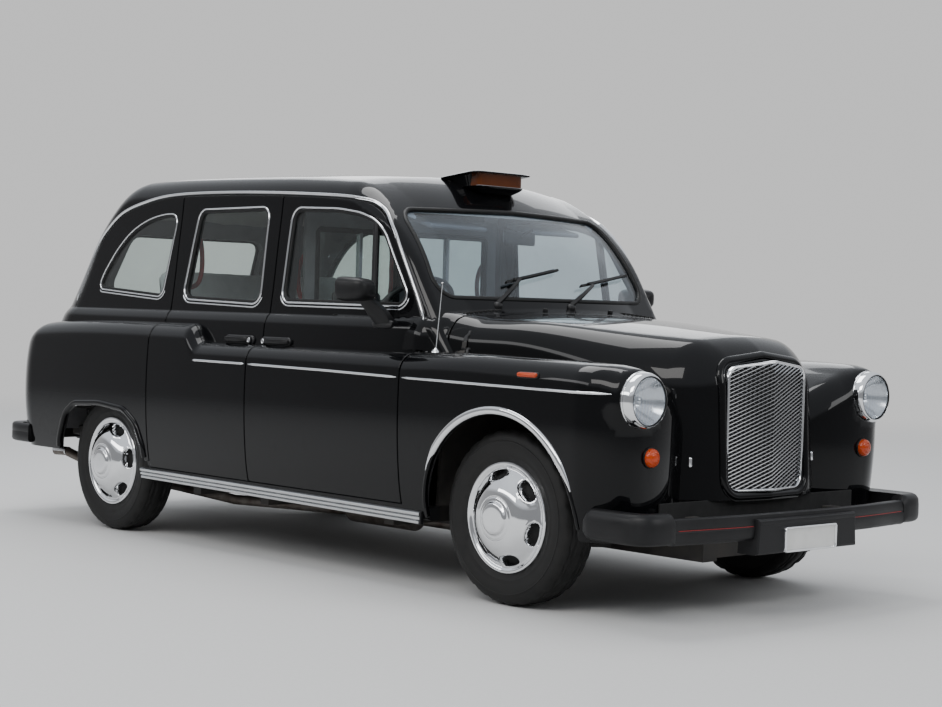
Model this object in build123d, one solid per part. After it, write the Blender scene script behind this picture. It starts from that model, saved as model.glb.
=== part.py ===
from build123d import *
import math
import os

# ---------------------------------------------------------------- frame
# Millimetres. +X forward, +Y left, +Z up, ground at z = 0, the origin under
# the middle of the overall length. A full-size four-door taxi cab with a
# luggage place beside the driver, a partition and a rear bench.

# ---------------------------------------------------------------- driving sizes
HALF_LENGTH = 2290.0        # overall 4580 with number plates and bumpers
WHEELBASE = 2810.0
X_FRONT = 1438.0            # front axle
X_REAR = X_FRONT - WHEELBASE
TRACK_HALF = 711.0          # wheel centre plane
TYRE_R = 340.0
TYRE_HALF_W = 87.5
RIM_R = 203.0               # seat of the tyre on the rim
KINGPIN_Y = 640.0           # steering axis

SHUT_A = 883.0              # front edge of the front doors, hinged here
SHUT_B = -162.0             # where front and rear doors meet
SHUT_C = -952.0             # rear edge of the rear doors, hinged here
HINGE_Y = 873.0             # door hinge axes, just outside the skin
GAP = 6.0                   # running gap round every door and lid
DOOR_BOTTOM = 345.0
DOOR_T = 60.0               # thickness of a door below the belt
FRAME_T = 35.0              # thickness of window frames, pillars and roof
DRAFT = 0.30                # slope of the latch faces of the doors

SILL_Z = (285.0, 338.0)
FLOOR_Z = (318.0, 338.0)
BELT_Z = 1040.0             # lower edge of the pillars and windows' shell
ROOF_Z = 1768.0
SCREEN_LEAN = 0.64          # windscreen: x lost for each mm of height
BACK_LEAN = 0.585           # back of the cab: x gained for each mm of height

BONNET_HINGE = (1050.0, 1136.0)     # x, z of the bonnet's rear hinge line
BOOT_HINGE = (-2160.0, 1062.0)      # x, z of the boot lid's top hinge line

# half widths of the side, from the door's lower edge to the roof: y, z
SIDE = [(838, 345), (862, 480), (870, 620), (868, 858), (838, 915),
        (790, 948), (752, 1040), (742, 1100), (722, 1230), (700, 1440),
        (684, 1560), (680, 1620)]

# outlines in the side view: x, z
RAIL = [(866, 1097), (792, 1223), (733, 1327), (672, 1442), (622, 1524),
        (572, 1572), (500, 1600), (424, 1618), (252, 1634), (-47, 1648),
        (-470, 1651), (-925, 1650), (-1155, 1633), (-1320, 1608),
        (-1470, 1570)]
FRONT_DOOR = [(SHUT_A - GAP / 2, 345), (SHUT_A - GAP / 2, 1090),
              (842, 1110), (702, 1345), (638, 1448), (592, 1518),
              (552, 1550), (495, 1575), (424, 1590), (252, 1606),
              (SHUT_B + 8 + GAP / 2, 1616), (SHUT_B + GAP / 2, 345)]
REAR_DOOR = [(SHUT_B - GAP / 2, 345), (SHUT_B + 8 - GAP / 2, 1616),
             (-470, 1620), (-925, 1620), (SHUT_C + GAP / 2, 1600),
             (SHUT_C + GAP / 2, 345)]
FRONT_GLASS = [(-60, 1548), (30, 1568), (241, 1560), (390, 1540), (490, 1505),
               (560, 1449), (735, 1195), (705, 1141), (-60, 1147),
               (-102, 1190)]
REAR_GLASS = [(-800, 1568), (-255, 1572), (-250, 1134), (-865, 1150)]
QUARTER_GLASS = [(-1605, 1190), (-1046, 1156), (-985, 1530), (-1060, 1552),
                 (-1215, 1535), (-1385, 1475), (-1500, 1375), (-1590, 1263)]


# ---------------------------------------------------------------- helpers
def face_on(plane, pts, radius=0.0):
    wire = Polyline(*[plane.from_local_coords((a, b, 0)) for a, b in pts],
                    close=True)
    f = Face(Wire(wire.edges()))
    if radius:
        f = f.fillet_2d(radius, f.vertices())
    return f


def prism_y(pts, y0, y1, radius=0.0):
    """Side-view outline (x, z) run from y0 to y1."""
    plane = Plane(origin=(0, y0, 0), x_dir=(1, 0, 0), z_dir=(0, -1, 0))
    return extrude(face_on(plane, pts, radius), amount=y1 - y0, dir=(0, 1, 0))


def prism_x(pts, x0, x1, radius=0.0):
    """Front-view outline (y, z) run from x0 to x1."""
    plane = Plane(origin=(x0, 0, 0), x_dir=(0, 1, 0), z_dir=(1, 0, 0))
    return extrude(face_on(plane, pts, radius), amount=x1 - x0, dir=(1, 0, 0))


def prism_z(pts, z0, z1, radius=0.0):
    """Plan outline (x, y) run from z0 to z1."""
    plane = Plane(origin=(0, 0, z0), x_dir=(1, 0, 0), z_dir=(0, 0, 1))
    return extrude(face_on(plane, pts, radius), amount=z1 - z0, dir=(0, 0, 1))


def box(x0, x1, y0, y1, z0, z1):
    return Pos((x0 + x1) / 2, (y0 + y1) / 2, (z0 + z1) / 2) * Box(
        abs(x1 - x0), abs(y1 - y0), abs(z1 - z0))


def rod(a, b, r):
    """Round bar of radius r from point a to point b."""
    a, b = Vector(*a), Vector(*b)
    d = b - a
    return extrude(Plane(origin=a, z_dir=d) * Circle(r), amount=d.length)


def ring_y(x, z, y0, y1, r_out, r_in):
    """Round ring about a line along Y."""
    plane = Plane(origin=(x, y0, z), z_dir=(0, 1, 0))
    return extrude(plane * (Circle(r_out) - Circle(r_in)), amount=y1 - y0)


def mirror_y(shape):
    return mirror(shape, Plane.XZ)


def inset(pts, t):
    """Open (y, z) polyline moved towards the cab's middle by t."""
    out = []
    for i, p in enumerate(pts):
        a = pts[max(i - 1, 0)]
        b = pts[min(i + 1, len(pts) - 1)]
        dy, dz = b[0] - a[0], b[1] - a[1]
        n = math.hypot(dy, dz)
        out.append((p[0] - dz / n * t, p[1] + dy / n * t))
    return out


def side_band(t_out, t_in, z_from=0, z_to=9999, frame_in=None):
    """Closed (y, z) outline between two depths behind the side's skin."""
    pts = [p for p in SIDE if z_from <= p[1] <= z_to]
    outer = inset(pts, t_out) if t_out else pts
    inner = [(y - (t_in if z < BELT_Z or frame_in is None else frame_in), z)
             for y, z in pts]
    if t_out:
        outer = [(y - t_out, z) for y, z in pts]
    return outer + inner[::-1]


def loft_shell(sections, t, front=0.0, rear=0.0):
    """Ruled loft of closed (y, z) outlines at x stations, hollowed by t.

    Each row is (x, outer polyline, y of the inner side, z of the lower side).
    front and rear are the thicknesses left at the two ends, or 0 for open."""
    def solid(depth, low, cut_front, cut_rear):
        wires = []
        n = len(sections)
        for i, (x, pts, y_in, z_low) in enumerate(sections):
            p = inset(pts, depth) if depth else list(pts)
            if depth:
                p[0] = (p[0][0], z_low - 60)
                p[-1] = (y_in - 60, p[-1][1])
                loop = p + [(y_in - 60, z_low - 60)]
            else:
                loop = p + [(y_in, z_low)]
            xx = x
            if i == 0:
                xx = x - 60 if cut_rear == 0 else x + cut_rear
            if i == n - 1:
                xx = x + 60 if cut_front == 0 else x - cut_front
            if depth == 0:
                xx = x
            wires.append(Wire(Polyline(*[(xx, a, b) for a, b in loop],
                                       close=True).edges()))
        return Solid.make_loft(wires, ruled=True)
    return solid(0, 0, 0, 0) - solid(t, 60, front, rear)


parts = {}

# ---------------------------------------------------------------- cab shell
# Three outlines meet: the front view, the side view, and the plan, which
# leans with the windscreen at the front and with the back at the rear.


def shell_solid(t):
    """Upper body above the belt, moved inwards by t."""
    side = [(y - t, z) for y, z in SIDE if z >= BELT_Z]
    low = BELT_Z - (200 if t else 0)
    side[0] = (side[0][0], low)
    half = Polyline(*[(0, y, z) for y, z in side])
    y_e, z_e = side[-1]
    arc1 = ThreePointArc((0, y_e, z_e), (0, 648 - t, 1690 - t * 0.9),
                         (0, 560 - t * 0.8, 1722 - t))
    arc2 = ThreePointArc((0, 560 - t * 0.8, 1722 - t), (0, 0, ROOF_Z - t),
                         (0, -560 + t * 0.8, 1722 - t))
    left = [half, arc1]
    right = [mirror(e, Plane.XZ) for e in left]
    base = Line((0, side[0][0], low), (0, -side[0][0], low))
    edges = [base, arc2]
    for group in (left, right):
        for e in group:
            edges += e.edges()
    section = Face(Wire(edges))
    front_view = extrude(Pos(-2200, 0, 0) * section, amount=3300,
                         dir=(1, 0, 0))
    s = t * 1.2
    roof = [(1000 - s, low), (916 - s, 1170), (690 - s, 1540), (640 - t, 1610 - t),
            (560, 1655 - t), (400, 1700 - t), (100, 1741 - t),
            (-441, 1762 - t), (-1157, ROOF_Z - t), (-1480, 1752 - t),
            (-1640, 1712 - t), (-1760 + t, 1635 - t), (-1862 + s, 1500),
            (-2092 + s, 1110), (-2092 + s, low)]
    side_view = prism_y(roof, -900, 900)
    zp = 1125.0
    plan_edges = [
        ThreePointArc((760 - s, -760, zp), (944 - s, 0, zp), (760 - s, 760, zp)),
        Line((760 - s, 760, zp), (-1790 + s, 760, zp)),
        ThreePointArc((-1790 + s, 760, zp), (-1990 + s, 560 - t, zp),
                      (-2040 + s, 400, zp)),
        Line((-2040 + s, 400, zp), (-2070 + s, 0, zp)),
        Line((-2070 + s, 0, zp), (-2040 + s, -400, zp)),
        ThreePointArc((-2040 + s, -400, zp), (-1990 + s, -560 + t, zp),
                      (-1790 + s, -760, zp)),
        Line((-1790 + s, -760, zp), (760 - s, -760, zp)),
    ]
    plan = Face(Wire([e for l in plan_edges for e in l.edges()]))
    n_f, n_r = math.hypot(1, SCREEN_LEAN), math.hypot(1, BACK_LEAN)
    up_f = extrude(plan, amount=700 * n_f, dir=(-SCREEN_LEAN, 0, 1))
    up_r = extrude(plan, amount=700 * n_r, dir=(BACK_LEAN, 0, 1))
    down_f = extrude(plan, amount=300 * n_f, dir=(SCREEN_LEAN, 0, -1))
    down_r = extrude(plan, amount=300 * n_r, dir=(-BACK_LEAN, 0, -1))
    lean_f = (up_f + down_f) + box(-2400, 100, -760, 760, zp - 240, zp + 700)
    lean_r = (up_r + down_r) + box(-900, 1300, -760, 760, zp - 240, zp + 700)
    return front_view & side_view & lean_f & lean_r


outer = shell_solid(0)
inner = shell_solid(FRAME_T)
shell = outer - inner

# split lines of the shell: roof above the drip rail, scuttle below the
# windscreen, tail between the two rear quarters
rail_fore = [(1100, 1575), (622, 1575)] + [p for p in RAIL if p[0] < 600]
roof_region = prism_y(rail_fore + [(-2300, 1570), (-2300, 1900), (1100, 1900)],
                      -900, 900)
screen_cut = prism_x([(-592, 1188), (592, 1188), (545, 1553), (-545, 1553)],
                     300, 1100, 55)
back_cut = prism_x([(-470, 1165), (470, 1165), (420, 1478), (-420, 1478)],
                   -2300, -1500, 80)
screen_low = 1150.0

roof_panel = (shell & roof_region) - screen_cut
parts["roof_panel"] = roof_panel

lower_shell = shell - roof_region - screen_cut - back_cut
tail_upper = lower_shell & box(-2300, -1700, -600, 600, BELT_Z, 1600)
scuttle_upper = lower_shell & box(700, 1100, -540, 540, screen_low, 1200)

# door apertures, larger than the doors by the running gap
front_hole = prism_y([(SHUT_A + GAP / 2, 335), (SHUT_A + GAP / 2, 1095),
                      (845, 1120), (706, 1353), (642, 1456), (597, 1526),
                      (556, 1558), (498, 1583), (424, 1598), (252, 1614),
                      (SHUT_B, 1624), (SHUT_B, 335)], -900, 900)
rear_hole = prism_y([(SHUT_B, 335), (SHUT_B, 1624), (-470, 1628),
                     (-925, 1628), (SHUT_C - GAP / 2, 1607),
                     (SHUT_C - GAP / 2, 335)], -900, 900)
quarter_cut = prism_y(QUARTER_GLASS, -900, 900, 28)

side_upper = (lower_shell - front_hole - rear_hole - quarter_cut
              - box(-2300, -1700, -600, 600, 900, 1600)
              - box(700, 1100, -540, 540, 900, 1200))
side_upper = side_upper & box(-2300, 1100, 530, 900, BELT_Z, 1700)

# posts and sill of one side: a centre post behind the two doors' meeting
# line, a lower front post that carries the front door's hinges, and a rear
# post that carries the rear door's
centre_post = prism_x([(766, 290), (766, 345), (788, 480), (800, 620),
                       (798, 850), (765, 905),
                       (716, 948), (704, 1040), (697, 1100), (677, 1230),
                       (655, 1440), (639, 1560), (636, 1622), (662, 1632),
                       (662, 1645), (605, 1645), (600, 1560),
                       (615, 1440), (632, 1230), (650, 1040), (665, 948),
                       (720, 880), (752, 840), (752, 290)], SHUT_B - 50, SHUT_B + 50)
front_post = box(SHUT_A + 5, SHUT_A + 55, 745, 832, 290, 1090)
rear_post = box(SHUT_C - 32, SHUT_C - 5, 745, 832, 290, 1035)
rear_post_top = box(SHUT_C - 60, SHUT_C - 5, 690, 735, 1000, 1060)
sill = box(SHUT_C - 32, SHUT_A + 130, 745, 836, SILL_Z[0], SILL_Z[1])
body_side = side_upper + centre_post + front_post + rear_post + sill
body_side = body_side + box(SHUT_C - 60, SHUT_C - 5, 700, 790, 1000, 1060)
body_side = max(body_side.solids(), key=lambda q: q.volume)
parts["body_sides"] = Compound([body_side, mirror_y(body_side)])

# ---------------------------------------------------------------- doors
for end, outline, glass, latch in (("front", FRONT_DOOR, FRONT_GLASS, 1),
                                   ("rear", REAR_DOOR, REAR_GLASS, -1)):
    slab = prism_x(side_band(0, DOOR_T, frame_in=FRAME_T),
                   min(p[0] for p in outline), max(p[0] for p in outline))
    door = slab & prism_y(outline, 500, 900)
    # latch face: the inner side is shorter than the outer
    x_l = SHUT_B + latch * GAP / 2
    wedge = prism_z([(x_l - latch * 60, 880), (x_l, 880),
                     (x_l + latch * 10, 880),
                     (x_l + latch * (10 + DRAFT * 260), 620),
                     (x_l - latch * 60, 620)], 300, 1700)
    # the cut follows the skin, so it starts where the skin is at each height
    for z0, z1, y_skin in ((300, 1000, 868), (1000, 1240, 752),
                           (1240, 1700, 722)):
        cut = prism_z([(x_l - latch * 40, y_skin), (x_l + latch * 2, y_skin),
                       (x_l + latch * (2 + DRAFT * 110), y_skin - 110),
                       (x_l - latch * 40, y_skin - 110)], z0, z1)
        door = door - cut
    door = door - prism_y(glass, 500, 900, 38)
    pane = prism_x(side_band(14, 20, z_from=1040, frame_in=20),
                   -1100, 1000) & prism_y(glass, 500, 900, 38)
    parts[end + "_door_left"] = door
    parts[end + "_door_right"] = mirror_y(door)
    parts[end + "_door_glass_left"] = pane
    parts[end + "_door_glass_right"] = mirror_y(pane)

# door mirrors on the front doors: head, arm and foot
mirror_solid = (prism_z([(500, 800), (560, 925), (620, 900), (660, 812),
                         (600, 790)], 1158, 1250)
                + prism_y([(600, 1165), (650, 1165), (700, 1085), (640, 1080)],
                          752, 800))
for tag, f in (("left", lambda s: s), ("right", mirror_y)):
    parts["door_mirror_" + tag] = f(mirror_solid)

# ---------------------------------------------------------------- glass
gl_a, gl_b = shell_solid(12), shell_solid(18)
glass_shell = gl_a - gl_b
parts["windscreen"] = glass_shell & screen_cut & box(300, 1100, -700, 700,
                                                     1150, 1600)
parts["rear_window"] = glass_shell & back_cut & box(-2300, -1500, -700, 700,
                                                    1100, 1600)
q_pane = glass_shell & prism_y(QUARTER_GLASS, 500, 900, 28)
parts["quarter_windows"] = Compound([q_pane, mirror_y(q_pane)])

# ---------------------------------------------------------------- front end
# wing sections, from the door to the lamp:
# x, outer polyline (y, z) from the lower edge over the crown to the seam
FRONT_WING = [
    (SHUT_A + GAP / 2, [(838, 345), (868, 600), (866, 860), (815, 945),
                        (745, 985), (700, 1000)], 690, 345),
    (1200, [(845, 345), (872, 600), (866, 850), (800, 955), (690, 952),
            (600, 965)], 590, 345),
    (1600, [(845, 380), (870, 600), (862, 840), (790, 950), (640, 915),
            (500, 915)], 490, 380),
    (1900, [(800, 395), (845, 600), (845, 800), (770, 930), (560, 870),
            (420, 845)], 410, 395),
    (2010, [(740, 395), (800, 600), (805, 790), (720, 890), (540, 820),
            (408, 775)], 403, 395),
    (2060, [(640, 400), (730, 600), (740, 760), (680, 815), (520, 770),
            (402, 730)], 401, 400),
]
wing = loft_shell(FRONT_WING, 25, front=25)
wing = wing - Pos(X_FRONT + 10, 780, 325) * Rot(90, 0, 0) * Cylinder(416, 500)
lamp_hole = Pos(2060, 697, 819) * Rot(0, 90, 0) * Cylinder(98, 400)
wing = wing - lamp_hole

lamp = (Pos(2015, 697, 819) * Rot(0, 90, 0) * Cylinder(94, 130)
        + Pos(2072, 697, 819) * Rot(0, 90, 0) * Cylinder(105, 16)
        + Pos(2080, 697, 819) * Rot(0, 90, 0) * Cone(92, 60, 22))
lamp = lamp - box(1900, 2064, 560, 860, 600, 1000) \
    + Pos(2010, 697, 819) * Rot(0, 90, 0) * Cylinder(92, 112)
parts["headlamps"] = Compound([lamp, mirror_y(lamp)])
wing = wing - lamp - body_side

# bonnet: x, half polyline (y, z) from the side edge to the middle
BONNET = [
    (1056, [(632, 1012), (600, 1070), (400, 1112), (0, 1128)]),
    (1500, [(510, 945), (480, 1010), (330, 1075), (0, 1102)]),
    (1930, [(405, 858), (380, 960), (250, 1030), (0, 1058)]),
    (2020, [(392, 800), (360, 935), (240, 1012), (0, 1042)]),
]


def bonnet_solid(drop):
    wires = []
    for i, (x, pts) in enumerate(BONNET):
        p = [(y - drop * 0.9, z - drop) for y, z in pts]
        p[0] = (pts[0][0] - drop, pts[0][1] if not drop else pts[0][1] - 60)
        full = p + [(-y, z) for y, z in p[:-1][::-1]]
        xx = x - 50 * (i == 0 and drop > 0) + 50 * (i == 3 and drop > 0)
        wires.append(Wire(Polyline(*[(xx, a, b) for a, b in full],
                                   close=True).edges()))
    return Solid.make_loft(wires, ruled=True)


lid = bonnet_solid(0) - bonnet_solid(22)
NOSE = [(-350, 440), (-380, 560), (-382, 720), (-376, 820), (-352, 900),
        (-300, 975), (-236, 1004), (-100, 1034), (0, 1040), (100, 1034),
        (236, 1004), (300, 975), (352, 900), (376, 820), (382, 720),
        (380, 560), (350, 440)]
GRILLE = [(-188, 455), (-228, 500), (-238, 700), (-236, 925), (-200, 955),
          (0, 975), (200, 955), (236, 925), (238, 700), (228, 500),
          (188, 455)]
nose_front = (prism_x(NOSE, 2020, 2062)
              - prism_x(GRILLE, 2000, 2100))
nose_skirt = (prism_x(NOSE, 1945, 2020)
              - prism_x([(y * 0.93, z - 22 if z > 460 else z - 60)
                         for y, z in NOSE], 1930, 2030))
nose_skirt = nose_skirt - bonnet_solid(0)
bonnet = lid + nose_front + nose_skirt
parts["bonnet"] = bonnet
# the grille is folded forward along its middle
fold = prism_z([(2050, -240), (2100, 0), (2050, 240), (2030, 240),
                (2080, 0), (2030, -240)], 440, 990)
parts["grille"] = fold & prism_x(GRILLE, 2000, 2120)

# scuttle: the cowl between bonnet and windscreen, with its closed sides
cowl = (prism_x([(-736, 1015), (-736, 1062), (-640, 1122), (-400, 1138),
                 (0, screen_low), (400, 1138), (640, 1122), (736, 1062),
                 (736, 1015)], SHUT_A + 58, 1048)
        - prism_x([(-712, 1000), (-712, 1048), (-625, 1098), (-400, 1113),
                   (0, 1125), (400, 1113), (625, 1098), (712, 1048),
                   (712, 1000)], SHUT_A + 40, 1024))
cowl_back = (prism_x([(-700, 1098), (-640, 1122), (-400, 1140),
                      (0, screen_low), (400, 1140), (640, 1122), (700, 1098)],
                     770, SHUT_A + 58) - prism_x(
                         [(-702, 1060), (-702, 1075), (-640, 1098),
                          (-400, 1114), (0, 1124), (400, 1114), (640, 1098),
                          (702, 1075), (702, 1060)], 700, 1000))
scuttle = cowl + cowl_back - body_side - mirror_y(body_side)
scuttle = max(scuttle.solids(), key=lambda q: q.volume)
# the sill of the windscreen stands on the cowl
ledge = scuttle_upper & box(700, 1100, -538, 538, screen_low + 1, 1200)
parts["scuttle"] = Compound([scuttle] + list(ledge.solids()))

parts["bulkhead"] = prism_x([(-735, 340), (735, 340), (710, 990), (620, 1090),
                             (0, 1112), (-620, 1090), (-710, 990)], 975, 995)

wing = wing - parts["bulkhead"] - parts["scuttle"] - parts["bonnet"]

# ---------------------------------------------------------------- rear end
REAR_WING = [
    (-2250, [(640, 430), (690, 600), (690, 740), (680, 800), (665, 830),
             (648, 845)], 500, 430),
    (-2215, [(750, 400), (790, 600), (790, 780), (750, 850), (700, 900),
             (648, 920)], 500, 400),
    (-2150, [(815, 390), (849, 600), (849, 800), (805, 895), (740, 955),
             (648, 985)], 500, 390),
    (-2050, [(830, 380), (868, 600), (868, 830), (825, 935), (760, 995),
             (660, 1030)], 500, 380),
    (-1800, [(838, 372), (872, 600), (872, 850), (830, 960), (765, 1020),
             (700, 1038)], 500, 372),
    (-1372, [(842, 365), (874, 600), (874, 850), (836, 965), (775, 1022),
             (735, 1038)], 500, 365),
    (SHUT_C - GAP / 2, [(838, 345), (868, 600), (868, 850), (838, 950),
                        (780, 1005), (745, 1038)], 500, 345),
]
rear_wing = loft_shell(REAR_WING, 25, rear=25)
arch = prism_y([(-1790, 300), (-1765, 420), (-1690, 560), (-1600, 612),
                (-1372, 624), (-1150, 606), (-1050, 545), (-1000, 440),
                (-985, 300)], 600, 900)
rear_wing = rear_wing - arch - box(-2400, -800, 0, 645, 0, 1100)
rear_wing = rear_wing - body_side
parts["rear_wings"] = Compound([rear_wing, mirror_y(rear_wing)])

# tail: side-view outline of the back below the window
TAIL = [(-2092, 1110), (-2125, 1085), (-2190, 1000), (-2236, 860),
        (-2250, 700), (-2252, 600), (-2240, 440)]
tail_band = TAIL + [(x + 38, z) for x, z in TAIL[::-1]]
tail_full = prism_y(tail_band, -642, 642)
lid_band = prism_y(TAIL + [(x + 40, z) for x, z in TAIL[::-1]], -424, 424)
boot_hole = box(-2300, -2050, -430, 430, 482, 1056)
tail_panel = tail_full - boot_hole
tail_panel = tail_panel + (tail_upper & box(-2300, -1700, -600, 600, 1100,
                                            1600))
tail_panel = tail_panel + (prism_y([(-2092, 1110), (-2054, 1110),
                                    (-2054, 1085), (-2092, 1085)], -600, 600)
                           - boot_hole)
for s in (1, -1):
    tail_panel = tail_panel - (body_side if s > 0 else mirror_y(body_side))
parts["tail_panel"] = tail_panel
parts["boot_lid"] = lid_band & box(-2300, -2000, -424, 424, 488, 1050)

tail_lamp = box(-2275, -2190, 655, 725, 600, 800) \
    - loft_shell(REAR_WING, 25, rear=25) - box(-2225, -2000, 600, 800,
                                               500, 900)
parts["tail_lamps"] = Compound([tail_lamp, mirror_y(tail_lamp)])

# ---------------------------------------------------------------- floor
# a low tunnel over the propeller shaft, a taller one over the gearbox
TUNNELS = [(-960, 520, 112, 438), (520, 974, 130, 560)]   # x, x, half y, z
floor = box(-960, 974, -744, 744, FLOOR_Z[0], FLOOR_Z[1])
for x0, x1, hy, top in TUNNELS:
    floor = floor + box(x0, x1, -hy, hy, FLOOR_Z[0], top)
for x0, x1, hy, top in TUNNELS:
    lap = 0 if x0 < 0 else 16
    floor = floor - box(x0 - 20 + 2 * lap + (4 if lap else 0),
                        x1 + 20, -hy + 16, hy - 16, 200, top - 16)
parts["floor_pan"] = floor
boot_floor = (box(-2195, -960, -588, 588, 560, 578)
              + box(-978, -960, -588, 588, FLOOR_Z[0], 560)
              - box(-990, -950, -112, 112, 300, 438))
for s in (1, -1):
    y0, y1 = (588, 604) if s > 0 else (-604, -588)
    boot_floor = boot_floor + box(-1800, -962, y0, y1, 330, 720) \
        - box(-1520, -1220, y0, y1, 300, 470)
    y0, y1 = (588, 800) if s > 0 else (-800, -588)
    boot_floor = boot_floor + box(-1800, -990, y0, y1, 720, 735)
parts["rear_floor"] = boot_floor

# ---------------------------------------------------------------- chassis
rail_side = [(2040, 205), (2040, 300), (-985, 300), (-1180, 540),
             (-1640, 540), (-1760, 470), (-2170, 470), (-2170, 395),
             (-1740, 395), (-1620, 450), (-1205, 450), (-955, 205)]
rail = prism_y(rail_side, 250, 330)
parts["chassis_rails"] = Compound([rail, mirror_y(rail)])
members = []
# cross members between the rails: x, z low, z high
for x, z0, z1 in ((1990, 215, 295), (1438, 195, 290), (620, 215, 295),
                  (-300, 215, 295), (-1230, 455, 535), (-2135, 400, 465)):
    members.append(box(x - 35, x + 35, -250, 250, z0, z1))
# four holes for a tow bracket through the last one
for y in (-90, 90):
    for z in (415, 450):
        members[-1] = members[-1] - Pos(-2135, y, z) * Rot(
            0, 90, 0) * Cylinder(6.5, 200)
# towing eye on the first one
members[0] = members[0] + (box(2020, 2085, -12, 12, 225, 285)
                           - Pos(2066, 0, 255) * Rot(90, 0, 0)
                           * Cylinder(16, 60))
# outriggers that carry the sills
for x in (700, -162, -690):
    for s in (1, -1):
        members.append(box(x - 30, x + 30, s * 330, s * 745, 235, 300))
parts["cross_members"] = Compound(members)

# lower edge of the body that the bumpers and nose stand on
parts["front_bumper"] = (
    prism_z([(1900, 862), (2085, 862), (2160, 830), (2222, 690), (2258, 400),
             (2268, 0), (2258, -400), (2222, -690), (2160, -830),
             (2085, -862), (1900, -862), (1900, -802), (2070, -802),
             (2112, -770), (2160, -640), (2190, -400), (2198, 0),
             (2190, 400), (2160, 640), (2112, 770), (2070, 802),
             (1900, 802)], 308, 408)
    + prism_y([(2215, 254), (2262, 254), (2272, 390), (2215, 390)],
              -300, 300)
    + prism_y([(2255, 262), (2282, 258), (2290, 352), (2255, 354)],
              -166, 166)
    + box(2038, 2200, 255, 325, 310, 400)
    + box(2038, 2200, -325, -255, 310, 400))
parts["rear_bumper"] = (
    prism_z([(-2060, 852), (-2190, 846), (-2262, 780), (-2285, 600),
             (-2290, 0), (-2285, -600), (-2262, -780), (-2190, -846),
             (-2060, -852), (-2060, -822), (-2180, -812), (-2236, -745),
             (-2262, -560), (-2264, 0), (-2262, 560), (-2236, 745),
             (-2180, 812), (-2060, 822)], 392, 470)
    + box(-2266, -2171, 255, 325, 396, 436)
    + box(-2266, -2171, -325, -255, 396, 436))
rear_wing = rear_wing - parts["rear_bumper"]
parts["rear_wings"] = Compound([rear_wing, mirror_y(rear_wing)])
parts["front_wings"] = Compound([wing - parts["front_bumper"],
                                 mirror_y(wing - parts["front_bumper"])])

# ---------------------------------------------------------------- driveline
parts["engine_block"] = (box(1130, 1680, -190, 190, 330, 860)
                         + box(1180, 1640, -130, 130, 860, 930))
parts["driveline"] = (rod((560, 0, 385), (1135, 0, 440), 85)
                      + rod((-1165, 0, 340), (565, 0, 378), 32)
                      - parts["engine_block"])
parts["bulkhead"] = parts["bulkhead"] - box(960, 1010, -131, 131, 300, 561)
parts["radiator"] = box(1880, 1935, -250, 250, 430, 880)
axle_z = TYRE_R
rear_axle = rod((X_REAR, -640, axle_z), (X_REAR, 640, axle_z), 42) \
    + Pos(X_REAR, 0, axle_z) * Sphere(140) \
    + rod((X_REAR, 0, axle_z), (X_REAR + 200, 0, axle_z), 50)
for s in (1, -1):
    # leaf spring: eyes on the frame's level, clamped over the axle tube
    rear_axle = rear_axle + prism_y(
        [(-2010, 380), (-1990, 394), (-1372, 300), (-760, 314), (-760, 296),
         (-1372, 282), (-1990, 376)], s * 420 - 30, s * 420 + 30)
    rear_axle = rear_axle + box(-1420, -1324, s * 420 - 35, s * 420 + 35,
                                276, 350)
    rear_axle = rear_axle + rod((X_REAR, s * 612, axle_z),
                                (X_REAR, s * 655, axle_z), 120)
rear_axle = rear_axle - parts["driveline"]
parts["rear_axle"] = rear_axle
parts["fuel_tank"] = box(-1150, -640, -240, 240, 200, 300)
parts["exhaust"] = (rod((1000, -150, 172), (150, -150, 172), 24)
                    + rod((200, -160, 190), (-230, -160, 190), 70)
                    + rod((-225, -160, 172), (-900, -380, 172), 24)
                    + rod((-895, -378, 172), (-1900, -520, 250), 24)
                    + rod((-1900, -520, 250), (-2120, -600, 327), 24)
                    + rod((-2110, -600, 327), (-2223, -600, 322), 23))
parts["exhaust"] = parts["exhaust"] - parts["rear_axle"]

# front suspension: lower and upper arms and a spring each side
susp = None
for s in (1, -1):
    low = prism_z([(1438 - 130, s * 330), (1438 + 130, s * 330),
                   (1438 + 34, s * 470), (1438 + 28, s * 655),
                   (1438 - 28, s * 655), (1438 - 34, s * 470)], 210, 232)
    up = prism_z([(1438 - 90, s * 300), (1438 + 90, s * 300),
                  (1438 + 28, s * 450), (1438 + 24, s * 655),
                  (1438 - 24, s * 655), (1438 - 28, s * 450)], 460, 480)
    coil = rod((1438, s * 400, 228), (1438, s * 400, 462), 52)
    tower = box(1360, 1516, s * 262, s * 330, 295, 500)
    one = low + up + coil + tower
    susp = one if susp is None else susp + one
parts["front_suspension"] = susp - parts["chassis_rails"]

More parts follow.
